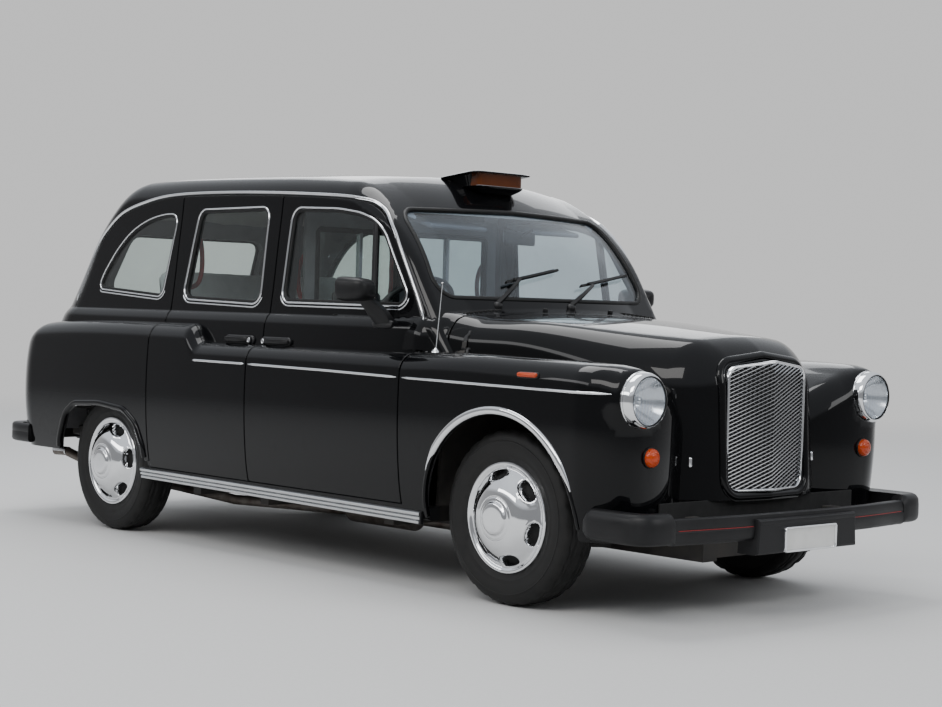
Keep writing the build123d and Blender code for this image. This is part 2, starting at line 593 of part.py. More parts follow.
# ---------------------------------------------------------------- wheels
for name, x, s in (("front_left", X_FRONT, 1), ("front_right", X_FRONT, -1),
                   ("rear_left", X_REAR, 1), ("rear_right", X_REAR, -1)):
    # wheel section, turned about the axle: radius, distance out from the
    # wheel's centre plane
    rim = [(60, 20), (110, 34), (150, 58), (190, 66), (203, 66), (222, 78),
           (222, 84), (196, 74), (196, 66), (190, 30), (190, -66), (222, -78),
           (222, -84), (203, -72), (182, -60), (182, 40), (150, 46),
           (110, 20), (60, 6)]
    rim = [(60, 20), (110, 34), (150, 58), (186, 68), (216, 74), (218, 84),
           (207, 84), (203, 70), (203, -70), (207, -84), (218, -84),
           (216, -76), (192, -66), (192, 44), (160, 44), (110, 18), (60, 4)]
    rim = [(57, -34), (57, 62), (90, 62), (110, 44), (150, 58), (196, 70),
           (203, 74), (216, 78), (216, 82), (203, 80), (203, -80), (216, -82),
           (216, -78), (200, -74), (188, -66), (188, 44), (150, 42),
           (110, 26), (88, 30), (88, -34)]
    plane = Plane(origin=(0, 0, 0), x_dir=(1, 0, 0), z_dir=(0, -1, 0))
    prof = [(r, d) for r, d in rim]
    wheel_pts = [(22, -34), (22, 46), (0, 46), (0, 62), (90, 62), (110, 46),
                 (150, 58), (203, 74), (203, -80), (190, -80), (188, 50),
                 (150, 42), (110, 30), (84, 30), (84, -34)]
    w = revolve(Face(Wire(Polyline(*[(r, 0, d) for r, d in wheel_pts],
                                   close=True).edges())), Axis.Z, 360)
    tyre_pts = [(203, -80), (203, 80), (222, 84), (300, 87.5), (328, 72),
                (340, 55), (340, -55), (328, -72), (300, -87.5), (222, -84)]
    t = revolve(Face(Wire(Polyline(*[(r, 0, d) for r, d in tyre_pts],
                                   close=True).edges())), Axis.Z, 360)
    # stand the wheel up, its outer side away from the cab
    place = Pos(x, s * TRACK_HALF, axle_z) * Rot(-90 * s, 0, 0)
    parts["wheel_" + name] = place * w
    parts["tyre_" + name] = place * t

# steering knuckles: upright on the steering axis and the stub axle
for tag, s in (("left", 1), ("right", -1)):
    k = box(X_FRONT - 18, X_FRONT + 18, s * 622, s * 658, 240, 452)
    k = k + rod((X_FRONT, s * 650, axle_z), (X_FRONT, s * 752, axle_z), 21.9)
    k = k + rod((X_FRONT, s * 640, axle_z), (X_FRONT, s * 668, axle_z), 60)
    parts["knuckle_" + tag] = k
# the rear axle's stubs run in the rear wheels' hubs
stub = None
for s in (1, -1):
    a = rod((X_REAR, s * 600, axle_z), (X_REAR, s * 752, axle_z), 21.9)
    parts["rear_axle"] = parts["rear_axle"] + a

# ---------------------------------------------------------------- interior
parts["partition"] = (box(-128, -112, -590, 590, 345, 1560)
                      - box(-140, -100, -520, -40, 1000, 1480)
                      - box(-140, -100, 40, 520, 1000, 1480)
                      - box(-140, -100, -112, 112, 300, 438))
seat_y = -375
parts["driver_seat"] = (
    box(20, 500, seat_y - 240, seat_y + 240, 500, 640)
    + prism_y([(20, 560), (130, 600), (60, 1200), (-40, 1200)],
              seat_y - 235, seat_y + 235)
    + box(80, 440, seat_y - 200, seat_y + 200, 338, 500))
parts["rear_seat"] = (
    box(-1300, -820, -560, 560, 580, 740)
    + prism_y([(-1300, 600), (-1160, 700), (-1250, 1240), (-1400, 1240)],
              -560, 560)
    + box(-955, -860, -540, 540, 338, 600)
    - box(-1000, -800, -114, 114, 300, 440))
tip = box(-200, -130, 90, 480, 560, 960)
parts["tip_up_seats"] = Compound([tip, mirror_y(tip)])
parts["dashboard"] = prism_y([(700, 860), (640, 940), (660, 1030),
                              (820, 1050), (880, 1035), (880, 900)],
                             -672, 672)

# steering wheel, tilted, in front of the driver on the right
wheel_c = Vector(470, seat_y, 1020)
lean = math.radians(38)
shaft = Vector(math.cos(lean), 0, -math.sin(lean))
sw_plane = Plane(origin=wheel_c, x_dir=(0, 1, 0), z_dir=-shaft)
rim_section = Face(Wire(Polyline(
    *[(195 + 14 * math.cos(math.radians(22.5 + 45 * i)), 0,
       14 * math.sin(math.radians(22.5 + 45 * i))) for i in range(8)],
    close=True).edges()))
sw = revolve(rim_section, Axis.Z, 360) + Pos(0, 0, -18) * Cylinder(48, 60)
for ang in (85, 205, 325):
    a = math.radians(ang)
    sw = sw + rod((0, 0, -12), (190 * math.cos(a), 190 * math.sin(a), 0), 9)
sw = sw_plane.location * sw
parts["steering_wheel"] = sw
col_start = wheel_c + shaft * 54
col_end = wheel_c + shaft * 300
parts["steering_column"] = rod(tuple(col_start), tuple(col_end), 30) \
    - parts["dashboard"]

# ---------------------------------------------------------------- roof sign
sign = (prism_y([(330, 1640), (330, 1722), (420, 1755), (560, 1755),
                 (512, 1735), (512, 1660), (540, 1640)], -180, 180)
        - outer)
parts["roof_sign"] = sign

# ---------------------------------------------------------------- write
os.makedirs("parts", exist_ok=True)
for node, shape in parts.items():
    solids = shape.solids() if not isinstance(shape, list) else shape
    big = [s for s in solids if s.volume > 500]
    export_step(big[0] if len(big) == 1 else Compound(big),
                "parts/" + node + ".step")
print(len(parts), "nodes")
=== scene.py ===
import bpy
import math
import numpy as np
from mathutils import Matrix, Vector, kdtree


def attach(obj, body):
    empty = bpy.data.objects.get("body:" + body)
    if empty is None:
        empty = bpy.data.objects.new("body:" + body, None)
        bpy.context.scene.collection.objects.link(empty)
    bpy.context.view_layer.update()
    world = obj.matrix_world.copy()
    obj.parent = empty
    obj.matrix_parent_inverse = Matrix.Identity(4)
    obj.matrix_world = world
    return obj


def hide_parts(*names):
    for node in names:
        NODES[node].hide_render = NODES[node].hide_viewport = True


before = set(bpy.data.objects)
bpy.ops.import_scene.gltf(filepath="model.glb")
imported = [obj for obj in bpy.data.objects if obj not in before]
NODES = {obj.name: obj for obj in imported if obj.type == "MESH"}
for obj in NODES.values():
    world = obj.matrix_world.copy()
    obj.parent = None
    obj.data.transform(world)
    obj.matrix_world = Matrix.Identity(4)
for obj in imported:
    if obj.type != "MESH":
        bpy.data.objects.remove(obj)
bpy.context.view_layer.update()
PI = math.pi

# ======================================================================
# Small mathematics: blends of surfaces, curves, outlines
# ======================================================================


def rmax(a, b, r):
    """Where two surfaces meet on the outside, rounded by r."""
    return np.minimum(-r, np.maximum(a, b)) + np.hypot(np.maximum(r + a, 0.0), np.maximum(r + b, 0.0))


def rmin(a, b, r):
    """Where two surfaces meet in a valley, filled by r."""
    return np.maximum(r, np.minimum(a, b)) - np.hypot(np.maximum(r - a, 0.0), np.maximum(r - b, 0.0))


class Spl:
    """Natural cubic through a few knots, straight beyond the ends."""

    def __init__(self, pts):
        p = sorted(pts)
        x = np.array([q[0] for q in p], float)
        y = np.array([q[1] for q in p], float)
        n = len(x)
        h = np.diff(x)
        A = np.zeros((n, n))
        r = np.zeros(n)
        A[0, 0] = A[-1, -1] = 1
        for i in range(1, n - 1):
            A[i, i - 1] = h[i - 1]
            A[i, i] = 2 * (h[i - 1] + h[i])
            A[i, i + 1] = h[i]
            r[i] = 6 * ((y[i + 1] - y[i]) / h[i] - (y[i] - y[i - 1]) / h[i - 1])
        self.x, self.y, self.h, self.m = x, y, h, np.linalg.solve(A, r)

    def __call__(self, t):
        t = np.asarray(t, float)
        x, y, h, m = self.x, self.y, self.h, self.m
        i = np.clip(np.searchsorted(x, t) - 1, 0, len(h) - 1)
        a = (x[i + 1] - t) / h[i]
        b = (t - x[i]) / h[i]
        v = a * y[i] + b * y[i + 1] + ((a ** 3 - a) * m[i] + (b ** 3 - b) * m[i + 1]) * h[i] ** 2 / 6
        s0 = (y[1] - y[0]) / h[0] - h[0] / 6 * (2 * m[0] + m[1])
        s1 = (y[-1] - y[-2]) / h[-1] + h[-1] / 6 * (m[-2] + 2 * m[-1])
        v = np.where(t < x[0], y[0] + s0 * (t - x[0]), v)
        return np.where(t > x[-1], y[-1] + s1 * (t - x[-1]), v)


def sstep(t, a, b):
    s = np.clip((t - a) / (b - a), 0, 1)
    return s * s * (3 - 2 * s)


def rounded(pts, r, n=7):
    """A closed outline with its corners rounded by r (a number, or one for each corner)."""
    out = []
    m = len(pts)
    for i in range(m):
        p0, p1, p2 = (np.array(pts[(i + k - 1) % m], float) for k in range(3))
        a, b = p0 - p1, p2 - p1
        la, lb = np.linalg.norm(a), np.linalg.norm(b)
        a, b = a / la, b / lb
        ang = math.acos(max(-1, min(1, float(a @ b))))
        rr = r[i] if isinstance(r, (list, tuple)) else r
        if ang > PI - .02 or rr <= 0:
            out.append(p1)
            continue
        d = min(rr / math.tan(ang / 2), .49 * la, .49 * lb)
        rr = d * math.tan(ang / 2)
        c = p1 + (a + b) / np.linalg.norm(a + b) * rr / math.sin(ang / 2)
        s, e = p1 + a * d - c, p1 + b * d - c
        t0 = math.atan2(s[1], s[0])
        dt = (math.atan2(e[1], e[0]) - t0 + PI) % (2 * PI) - PI
        for k in range(n):
            t = t0 + dt * k / (n - 1)
            out.append(c + rr * np.array([math.cos(t), math.sin(t)]))
    return np.array(out)


def resample(pts, step, closed=True):
    p = np.array(pts, float)
    if closed:
        p = np.vstack([p, p[:1]])
    d = np.r_[0, np.cumsum(np.linalg.norm(np.diff(p, axis=0), axis=1))]
    n = max(2, int(round(d[-1] / step)))
    t = np.linspace(0, d[-1], n + 1)
    q = np.stack([np.interp(t, d, p[:, k]) for k in range(p.shape[1])], 1)
    return q[:-1] if closed else q


def sd_poly(u, v, pts):
    """Signed distance to a closed outline, less than nought inside."""
    shape = np.shape(u)
    u, v = np.ravel(u), np.ravel(v)
    d = np.full(len(u), 1e9)
    inside = np.zeros(len(u), bool)
    n = len(pts)
    for i in range(n):
        ax, ay = pts[i]
        bx, by = pts[(i + 1) % n]
        ex, ey = bx - ax, by - ay
        wx, wy = u - ax, v - ay
        t = np.clip((wx * ex + wy * ey) / (ex * ex + ey * ey + 1e-18), 0, 1)
        d = np.minimum(d, (wx - ex * t) ** 2 + (wy - ey * t) ** 2)
        c = (ay > v) != (by > v)
        if ey != 0:
            inside ^= c & (u < ex * (v - ay) / ey + ax)
    d = np.sqrt(d)
    return np.where(inside, -d, d).reshape(shape)


# ======================================================================
# The body's surfaces. Lengths in metres, x forward, y left, z up.
# ======================================================================
CAB_Y = Spl([(.30, .775), (.80, .765), (.955, .757), (1.04, .750), (1.10, .741), (1.23, .724), (1.44, .701), (1.56, .687), (1.64, .680), (1.80, .668)])
CAB_IN_K = Spl([(.1, 0), (.35, .003), (.60, .011), (.75, .022), (.85, .042), (.95, .075)])
ROOF_Z = Spl([(.62, 1.655), (.457, 1.699), (.20, 1.734), (-.10, 1.752), (-.44, 1.762), (-.80, 1.768), (-1.157, 1.770), (-1.45, 1.764), (-1.75, 1.750), (-2.1, 1.72)])
SIDE_Y = Spl([(.20, .806), (.30, .828), (.38, .846), (.50, .862), (.64, .871), (.76, .872), (.86, .869), (.95, .863), (1.05, .853)])
TAIL_X = Spl([(.30, -2.236), (.44, -2.258), (.60, -2.272), (.72, -2.271), (.86, -2.256), (.98, -2.218), (1.07, -2.162), (1.14, -2.095)])
WING_Z = Spl([(.60, .950), (.90, .955), (1.15, .962), (1.53, .958), (1.84, .950), (2.00, .938), (2.15, .915)])
BON_Z = Spl([(.95, 1.131), (1.05, 1.128), (1.25, 1.120), (1.498, 1.105), (1.712, 1.085), (1.916, 1.062), (2.02, 1.046), (2.08, 1.036)])
BON_Y = Spl([(.90, .690), (1.05, .650), (1.50, .535), (1.80, .452), (1.93, .402), (2.02, .363), (2.08, .342)])
RW_Z = Spl([(-.50, 1.036), (-1.0, 1.036), (-1.40, 1.034), (-1.80, 1.022), (-2.05, 1.000), (-2.25, .960)])


def cab_in(x):
    return np.where(x < .1, 0.0, np.maximum(0.0, CAB_IN_K(x)))


def belt(z):
    """The shoulder under the windows: a crease, then a curve out to the wall above the ledge."""
    t = np.clip((1.093 - z) / .050, 0, 1)
    return .021 * (t * (2 - t) - .10 * np.exp(-(t / .12) ** 2) * (t > 0))


def f_cabin(x, y, z):
    ay = np.abs(y)
    a1 = ay - (CAB_Y(z) + belt(z) - cab_in(x))
    a2 = (z - (ROOF_Z(x) - .13 * ay ** 2)) * .97
    bow = (np.minimum(ay, .50) / .59) ** 2 + 1.05 * np.maximum(0, ay - .50)
    a3 = (x - (.919 - .09 * bow - .64 * (z - 1.19))) * .842
    a4 = ((-2.072 + .12 * ay ** 2 + .585 * (z - 1.125)) - x) * .863
    top = rmax(rmax(a2, a3, .24), a4, .30)
    r = .085 + .12 * sstep(-x, 1.42, 1.80) - .052 * sstep(x, .40, .62)
    return rmax(top, a1, r)


def tail_plane(x, y, z):
    return ((TAIL_X(z) + .045 * y ** 2) - x) * .97


def f_side(x, y, z):
    """Doors below the windows, rear wings and tail. The ledge under the cabin steps up to the rear wing's shoulder."""
    ay = np.abs(y)
    up = sstep(-x, .560, .668)
    top = .952 + (RW_Z(x) - .952) * up
    b = rmax(ay - SIDE_Y(z), tail_plane(x, y, z), .205)
    b = rmax(b, (z - (top - .10 * up * np.maximum(0, .80 - ay) ** 2)) / np.hypot(1, .9 * up * (1 - up) * 4 * .25), .074 + .012 * up)
    b = rmax(b, x - 1.30, .02)
    t = rmax(tail_plane(x, y, z), ay - (.66 - .35 * np.maximum(0, z - .95)), .16)
    t = rmax(t, x + 1.75, .02)
    return rmin(b, t, .05)


def f_wing(x, y, z):
    ay = np.abs(y)
    inner = np.maximum(0, .775 - ay)
    d2 = (z - (WING_Z(x) - .95 * inner ** 2)) * (1 - .25 * np.minimum(1, inner / .3))
    d3 = x - (2.045 - 1.00 * np.maximum(0, .66 - ay) ** 2 - .06 * np.maximum(0, .62 - z) ** 1.5 - .35 * np.maximum(0, z - .80) ** 2)
    f = rmax(rmax(ay - SIDE_Y(z), d3, .19), d2, .086)
    f = rmax(f, .80 - x, .02)
    t = np.maximum(0, 1.95 - x)
    pod = rmax(np.hypot(ay - .697, z - .819) - (.113 + .06 * t - .25 * t * t), x - 2.022, .02)
    return rmin(f, pod, .035)


def f_bonnet(x, y, z):
    ay = np.abs(y)
    front = sstep(x, 1.2, 2.05)
    lift = .08 * ((1.05 - x) + np.hypot(1.05 - x, .02)) - .0016
    e2 = (z - (BON_Z(x) + lift - (.09 + .20 * front) * ay ** 2)) * .97
    e1 = (ay - (BON_Y(x) - .06 * (z - 1.0))) * .97
    f = rmax(e1, e2, .10 + .07 * front)
    f = rmax(f, x - (2.069 - .0435 * (z - .465) + .018 * np.maximum(0, 1 - ay / .24)), .13 * sstep(x, 1.5, 1.9) + .02)
    return rmax(f, .90 - x, .02)


def f_scuttle(x, y, z):
    ay = np.abs(y)
    lift = .08 * ((1.05 - x) + np.hypot(1.05 - x, .02)) - .0016
    s2 = z - (np.minimum(1.132, BON_Z(np.maximum(x, .95))) + lift - .09 * ay ** 2)
    f = rmax(s2, ay - (.755 - .10 * (z - .95) - .078 * sstep(x, .83, .97)), .10)
    return rmax(rmax(f, x - 1.075, .02), .72 - x, .02)


def f_all(x, y, z):
    return np.minimum(np.minimum(np.minimum(f_cabin(x, y, z), f_side(x, y, z)), np.minimum(f_wing(x, y, z), f_bonnet(x, y, z))), f_scuttle(x, y, z))


def at(f, P):
    return f(P[..., 0], P[..., 1], P[..., 2])


def grad(f, P, e=1e-4):
    x, y, z = P[..., 0], P[..., 1], P[..., 2]
    return np.stack([f(x + e, y, z) - f(x - e, y, z), f(x, y + e, z) - f(x, y - e, z), f(x, y, z + e) - f(x, y, z - e)], -1) / (2 * e)


def unit(v):
    return v / np.maximum(np.linalg.norm(v, axis=-1, keepdims=True), 1e-12)


def normal(f, P):
    return unit(grad(f, P))


def pull(f, P, n=4, lim=.01):
    for _ in range(n):
        g = grad(f, P)
        P = P - g * np.clip(at(f, P) / np.maximum((g * g).sum(-1), .05), -lim, lim)[..., None]
    return P


def cast(f, O, D, t1=1.0, n=60):
    """Where rays from O along D last leave the body f."""
    O, D = np.broadcast_arrays(np.asarray(O, float), np.asarray(D, float))
    ts = np.linspace(0, t1, n)
    val = np.stack([at(f, O + D * t) for t in ts])
    hit = (val[:-1] < 0) & (val[1:] >= 0)
    i = np.where(hit.any(0), hit.argmax(0), n - 2)
    lo, hi = ts[i], ts[i + 1]
    for _ in range(18):
        m = (lo + hi) / 2
        inn = at(f, O + D * m[..., None]) < 0
        lo, hi = np.where(inn, m, lo), np.where(inn, hi, m)
    return O + D * ((lo + hi) / 2)[..., None]


# ======================================================================
# Meshing of those surfaces, and cutting into panels
# ======================================================================
def nets(f, lo, hi, h):
    """Triangles of the zero surface of f in a box: one point for each cell, pulled onto the surface."""
    n = [int(np.ceil((hi[i] - lo[i]) / h)) + 1 for i in range(3)]
    ax = [lo[i] + h * np.arange(n[i]) for i in range(3)]
    V = np.empty(n)
    for i in range(n[0]):
        V[i] = f(ax[0][i], ax[1][:, None], ax[2][None, :])
    S = V < 0
    cnt = np.zeros([k - 1 for k in n], np.int8)
    for a in (0, 1):
        for b in (0, 1):
            for c in (0, 1):
                cnt += S[a:n[0] - 1 + a, b:n[1] - 1 + b, c:n[2] - 1 + c]
    act = (cnt > 0) & (cnt < 8)
    idx = -np.ones(act.shape, int)
    cells = np.argwhere(act)
    idx[act] = np.arange(len(cells))
    P = np.zeros((len(cells), 3))
    W = np.zeros(len(cells))
    i, j, k = cells.T
    for d in range(3):
        o1, o2 = [q for q in range(3) if q != d]
        for a in (0, 1):
            for b in (0, 1):
                off = [0, 0, 0]
                off[o1], off[o2] = a, b
                end = list(off)
                end[d] = 1
                v0 = V[i + off[0], j + off[1], k + off[2]]
                v1 = V[i + end[0], j + end[1], k + end[2]]
                m = (v0 < 0) != (v1 < 0)
                q = np.array(off, float)[None] + 0 * P
                q[:, d] += np.where(m, v0 / np.where(m, v0 - v1, 1), 0)
                P += q * m[:, None]
                W += m
    P = (P / W[:, None] + cells) * h + np.array(lo)
    quads = []
    for d in range(3):
        sl0, sl1 = [slice(None)] * 3, [slice(None)] * 3
        sl0[d], sl1[d] = slice(0, n[d] - 1), slice(1, n[d])
        ch = np.argwhere(S[tuple(sl0)] != S[tuple(sl1)])
        o1, o2 = [q for q in range(3) if q != d]
        ch = ch[(ch[:, o1] > 0) & (ch[:, o2] > 0) & (ch[:, o1] < n[o1] - 1) & (ch[:, o2] < n[o2] - 1)]
        c = []
        for a, b in ((0, 0), (1, 0), (1, 1), (0, 1)):
            q = ch.copy()
            q[:, o1] -= a
            q[:, o2] -= b
            c.append(idx[q[:, 0], q[:, 1], q[:, 2]])
        qd = np.stack(c, 1)
        inside = S[ch[:, 0], ch[:, 1], ch[:, 2]]
        keep = inside if d != 1 else ~inside
        qd[~keep] = qd[~keep][:, ::-1]
        quads.append(qd)
    Q = np.concatenate(quads)
    P = pull(f, P)
    alt = np.linalg.norm(P[Q[:, 0]] - P[Q[:, 2]], axis=1) > np.linalg.norm(P[Q[:, 1]] - P[Q[:, 3]], axis=1)
    Q[alt] = np.roll(Q[alt], 1, axis=1)
    T = np.concatenate([Q[:, [0, 1, 2]], Q[:, [0, 2, 3]]])
    return P, T


def tidy(P, T):
    used = np.unique(T)
    new = -np.ones(len(P), int)
    new[used] = np.arange(len(used))
    return P[used], new[T], new


def edges_of(T):
    e = np.stack([T[:, [0, 1]], T[:, [1, 2]], T[:, [2, 0]]], 1).reshape(-1, 2)
    e = np.sort(e, 1)
    key = e[:, 0].astype(np.int64) * 4194304 + e[:, 1]
    u, inv = np.unique(key, return_inverse=True)
    return np.stack([u // 4194304, u % 4194304], 1), inv.reshape(-1, 3)


def refine(P, T, f, g, band, size):
    """Splits the triangles near g = 0 whose edges are longer than size; without f and g, all of them, in their plane."""
    E, I = edges_of(T)
    L = np.linalg.norm(P[E[:, 0]] - P[E[:, 1]], axis=1)
    mark = L > size
    if g is not None:
        gv = g(P)
        a, b = gv[E[:, 0]], gv[E[:, 1]]
        mark &= (np.minimum(np.abs(a), np.abs(b)) < band) | ((a < 0) != (b < 0))
    if not mark.any():
        return P, T
    mid = -np.ones(len(E), int)
    mid[mark] = len(P) + np.arange(mark.sum())
    Pm = (P[E[mark, 0]] + P[E[mark, 1]]) / 2
    if f is not None:
        Pm = pull(f, Pm, 2)
    P = np.vstack([P, Pm])
    M = mid[I]
    m = M >= 0
    n = m.sum(1)
    out = [T[n == 0]]
    for k in range(3):
        r = [(k + j) % 3 for j in range(3)]
        s = (n == 1) & m[:, k]
        t, q = T[s][:, r], M[s][:, r]
        out += [np.stack([t[:, 0], q[:, 0], t[:, 2]], 1), np.stack([q[:, 0], t[:, 1], t[:, 2]], 1)]
        s = (n == 2) & ~m[:, (k + 2) % 3]
        t, q = T[s][:, r], M[s][:, r]
        out += [np.stack([q[:, 0], t[:, 1], q[:, 1]], 1), np.stack([t[:, 0], q[:, 0], q[:, 1]], 1), np.stack([t[:, 0], q[:, 1], t[:, 2]], 1)]
    s = n == 3
    t, q = T[s], M[s]
    out += [np.stack([t[:, 0], q[:, 0], q[:, 2]], 1), np.stack([q[:, 0], t[:, 1], q[:, 1]], 1), np.stack([q[:, 2], q[:, 1], t[:, 2]], 1), q]
    return P, np.vstack(out)


def cut(P, T, f, g):
    """Keeps g < 0. Returns the points, triangles and the cut's directed edges."""
    gv = g(P)
    ins = gv < 0
    k = ins[T].sum(1)
    T = T[k > 0]
    E, I = edges_of(T)
    x = ins[E[:, 0]] != ins[E[:, 1]]
    new = -np.ones(len(E), int)
    new[x] = len(P) + np.arange(x.sum())
    A, B = P[E[x, 0]], P[E[x, 1]]
    ga, gb = gv[E[x, 0]], gv[E[x, 1]]
    lo, hi = np.zeros(len(A)), np.ones(len(A))
    t = np.clip(ga / (ga - gb), .001, .999)
    Q = pull(f, A + (B - A) * t[:, None], 2)
    for _ in range(3):
        gq = g(Q)
        same = (gq < 0) == (ga < 0)
        lo, hi = np.where(same, t, lo), np.where(same, hi, t)
        g0, g1 = np.where(same, gq, ga), np.where(same, gb, gq)
        ga2, gb2 = g0, g1
        t = np.clip(lo + (hi - lo) * np.clip(ga2 / np.where(np.abs(ga2 - gb2) < 1e-12, 1e-12, ga2 - gb2), .02, .98), .001, .999)
        ga, gb = np.where(same, gq, ga), np.where(same, gb, gq)
        Q = pull(f, A + (B - A) * t[:, None], 2)
    P = np.vstack([P, Q])
    M = new[I]
    i3 = ins[T]
    n = i3.sum(1)
    out, bd = [T[n == 3]], []
    for j in range(3):
        r = [(j + q) % 3 for q in range(3)]
        s = (n == 1) & i3[:, j]  # corner j kept
        t, q = T[s][:, r], M[s][:, r]
        out.append(np.stack([t[:, 0], q[:, 0], q[:, 2]], 1))
        bd.append(np.stack([q[:, 0], q[:, 2]], 1))
        s = (n == 2) & ~i3[:, j]  # corner j cut off
        t, q = T[s][:, r], M[s][:, r]
        out += [np.stack([q[:, 0], t[:, 1], t[:, 2]], 1), np.stack([q[:, 0], t[:, 2], q[:, 2]], 1)]
        bd.append(np.stack([q[:, 2], q[:, 0]], 1))
    T = np.vstack(out)
    bd = np.vstack(bd)
    P, T, ren = tidy(P, T)
    return P, T, ren[bd]


def panel(base, g, f, edge=.0028, depth=.014, fine=.0115, lean=0.0):
    """One pressed panel: the part of the surface where g < 0, with a rounded edge and a turned-in flange."""
    P, T = base
    keep = (g(P) < .03)[T].any(1)
    P, T, _ = tidy(P, T[keep])
    for _ in range(2):
        P, T = refine(P, T, f, g, .003, fine)
    P, T, bd = cut(P, T, f, g)
    N = normal(f, P)
    if len(bd) == 0:
        return P, T, N
    d = P[bd[:, 1]] - P[bd[:, 0]]
    out = np.cross(d, (N[bd[:, 0]] + N[bd[:, 1]]) / 2)
    S = np.zeros_like(P)
    np.add.at(S, bd[:, 0], out)
    np.add.at(S, bd[:, 1], out)
    vs = np.unique(bd)
    S = S[vs] - N[vs] * (S[vs] * N[vs]).sum(1, keepdims=True)
    S = unit(S)
    loc = -np.ones(len(P), int)
    loc[vs] = np.arange(len(vs))
    rings = [(edge * math.sin(a), edge * (1 - math.cos(a)), a) for a in (PI / 4, PI / 2)] + [(edge - lean * depth, edge + depth, PI / 2)]
    PP, NN, TT = [P], [N], [T]
    prev = np.arange(len(P))
    base_i = len(P)
    for a, b, th in rings:
        PP.append(P[vs] + S * a - N[vs] * b)
        NN.append(unit(N[vs] * math.cos(th) + S * math.sin(th)))
        i0, i1 = prev[bd[:, 0]], prev[bd[:, 1]]
        cur = base_i + loc
        j0, j1 = cur[bd[:, 0]], cur[bd[:, 1]]
        TT += [np.stack([i1, i0, j0], 1), np.stack([i1, j0, j1], 1)]
        prev = np.where(loc >= 0, cur, -1)
        base_i += len(vs)
    return np.vstack(PP), np.vstack(TT), np.vstack(NN)


def mirror(m):
    P, T, N = m
    s = np.array([1, -1, 1.0])
    return P * s, T[:, ::-1], N * s


def join(*ms):
    P, T, N, o = [], [], [], 0
    for p, t, n in ms:
        P.append(p)
        T.append(t + o)
        N.append(n)
        o += len(p)
    return np.vstack(P), np.vstack(T), np.vstack(N)

# ======================================================================
# Objects
# ======================================================================
SC = bpy.context.scene


def mesh_object(name, P, T, N, mats, body, nodes=(), idx=None, smooth=True):
    """P points, T triangles or a list of faces, N a normal for each point or None."""
    me = bpy.data.meshes.new(name)
    if isinstance(T, np.ndarray):
        n, k = T.shape
        me.vertices.add(len(P))
        me.vertices.foreach_set("co", np.asarray(P, np.float32).ravel())
        me.loops.add(n * k)
        me.loops.foreach_set("vertex_index", T.astype(np.int32).ravel())
        me.polygons.add(n)
        me.polygons.foreach_set("loop_start", (np.arange(n) * k).astype(np.int32))
        me.polygons.foreach_set("loop_total", np.full(n, k, np.int32))
    else:
        me.from_pydata([tuple(p) for p in P], [], [tuple(int(i) for i in f) for f in T])
    for m in mats if isinstance(mats, (list, tuple)) else [mats]:
        me.materials.append(m)
    if idx is not None:
        me.polygons.foreach_set("material_index", np.asarray(idx, np.int32))
    me.polygons.foreach_set("use_smooth", np.full(len(me.polygons), smooth))
    me.update(calc_edges=True)
    me.validate()
    if N is not None and len(me.vertices) == len(N):
        me.normals_split_custom_set_from_vertices([tuple(v) for v in np.asarray(N, float)])
    o = bpy.data.objects.new(name, me)
    SC.collection.objects.link(o)
    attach(o, body)
    if nodes:
        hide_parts(*nodes)
    return o


class Group:
    """Collects meshes with their materials, to make one piece of them."""

    def __init__(self):
        self.P, self.F, self.I, self.mats, self.n, self.N = [], [], [], [], 0, []

    def add(self, P, F, mat, N=None):
        P = np.asarray(P, float)
        if mat not in self.mats:
            self.mats.append(mat)
        k = self.mats.index(mat)
        self.P.append(P)
        if isinstance(F, np.ndarray):
            fs = (F + self.n).tolist()
        else:
            fs = [[i + self.n for i in f] for f in F]
        self.F += fs
        self.I += [k] * len(fs)
        self.N.append(N if N is not None else np.zeros_like(P))
        self.n += len(P)
        return self

    def make(self, name, body, nodes=(), sharp=40, bevel=0.0):
        me = bpy.data.meshes.new(name)
        P = np.vstack(self.P)
        lens = np.array([len(f) for f in self.F])
        flat = np.concatenate([np.array(f, np.int32) for f in self.F]) if len(self.F) else np.zeros(0, np.int32)
        me.vertices.add(len(P))
        me.vertices.foreach_set("co", P.astype(np.float32).ravel())
        me.loops.add(len(flat))
        me.loops.foreach_set("vertex_index", flat.astype(np.int32))
        me.polygons.add(len(lens))
        me.polygons.foreach_set("loop_start", np.r_[0, np.cumsum(lens)[:-1]].astype(np.int32))
        me.polygons.foreach_set("loop_total", lens.astype(np.int32))
        for m in self.mats:
            me.materials.append(m)
        me.polygons.foreach_set("material_index", np.array(self.I, np.int32))
        me.polygons.foreach_set("use_smooth", np.ones(len(lens), bool))
        me.update(calc_edges=True)
        me.validate()
        me.set_sharp_from_angle(angle=math.radians(sharp))
        o = bpy.data.objects.new(name, me)
        SC.collection.objects.link(o)
        if bevel:
            b = o.modifiers.new("edge", "BEVEL")
            b.width = bevel
            b.segments = 2
            b.limit_method = "ANGLE"
            b.angle_limit = math.radians(35)
            b.harden_normals = False
        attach(o, body)
        if nodes:
            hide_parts(*nodes)
        return o


def grid_faces(nu, nv, close_u=False, close_v=False, flip=False):
    """Quads of an nu by nv grid of points, v fastest."""
    iu = np.arange(nu if close_u else nu - 1)
    iv = np.arange(nv if close_v else nv - 1)
    a, b = np.meshgrid(iu, iv, indexing="ij")
    a, b = a.ravel(), b.ravel()
    a2, b2 = (a + 1) % nu, (b + 1) % nv
    q = np.stack([a * nv + b, a2 * nv + b, a2 * nv + b2, a * nv + b2], 1)
    return q[:, ::-1] if flip else q


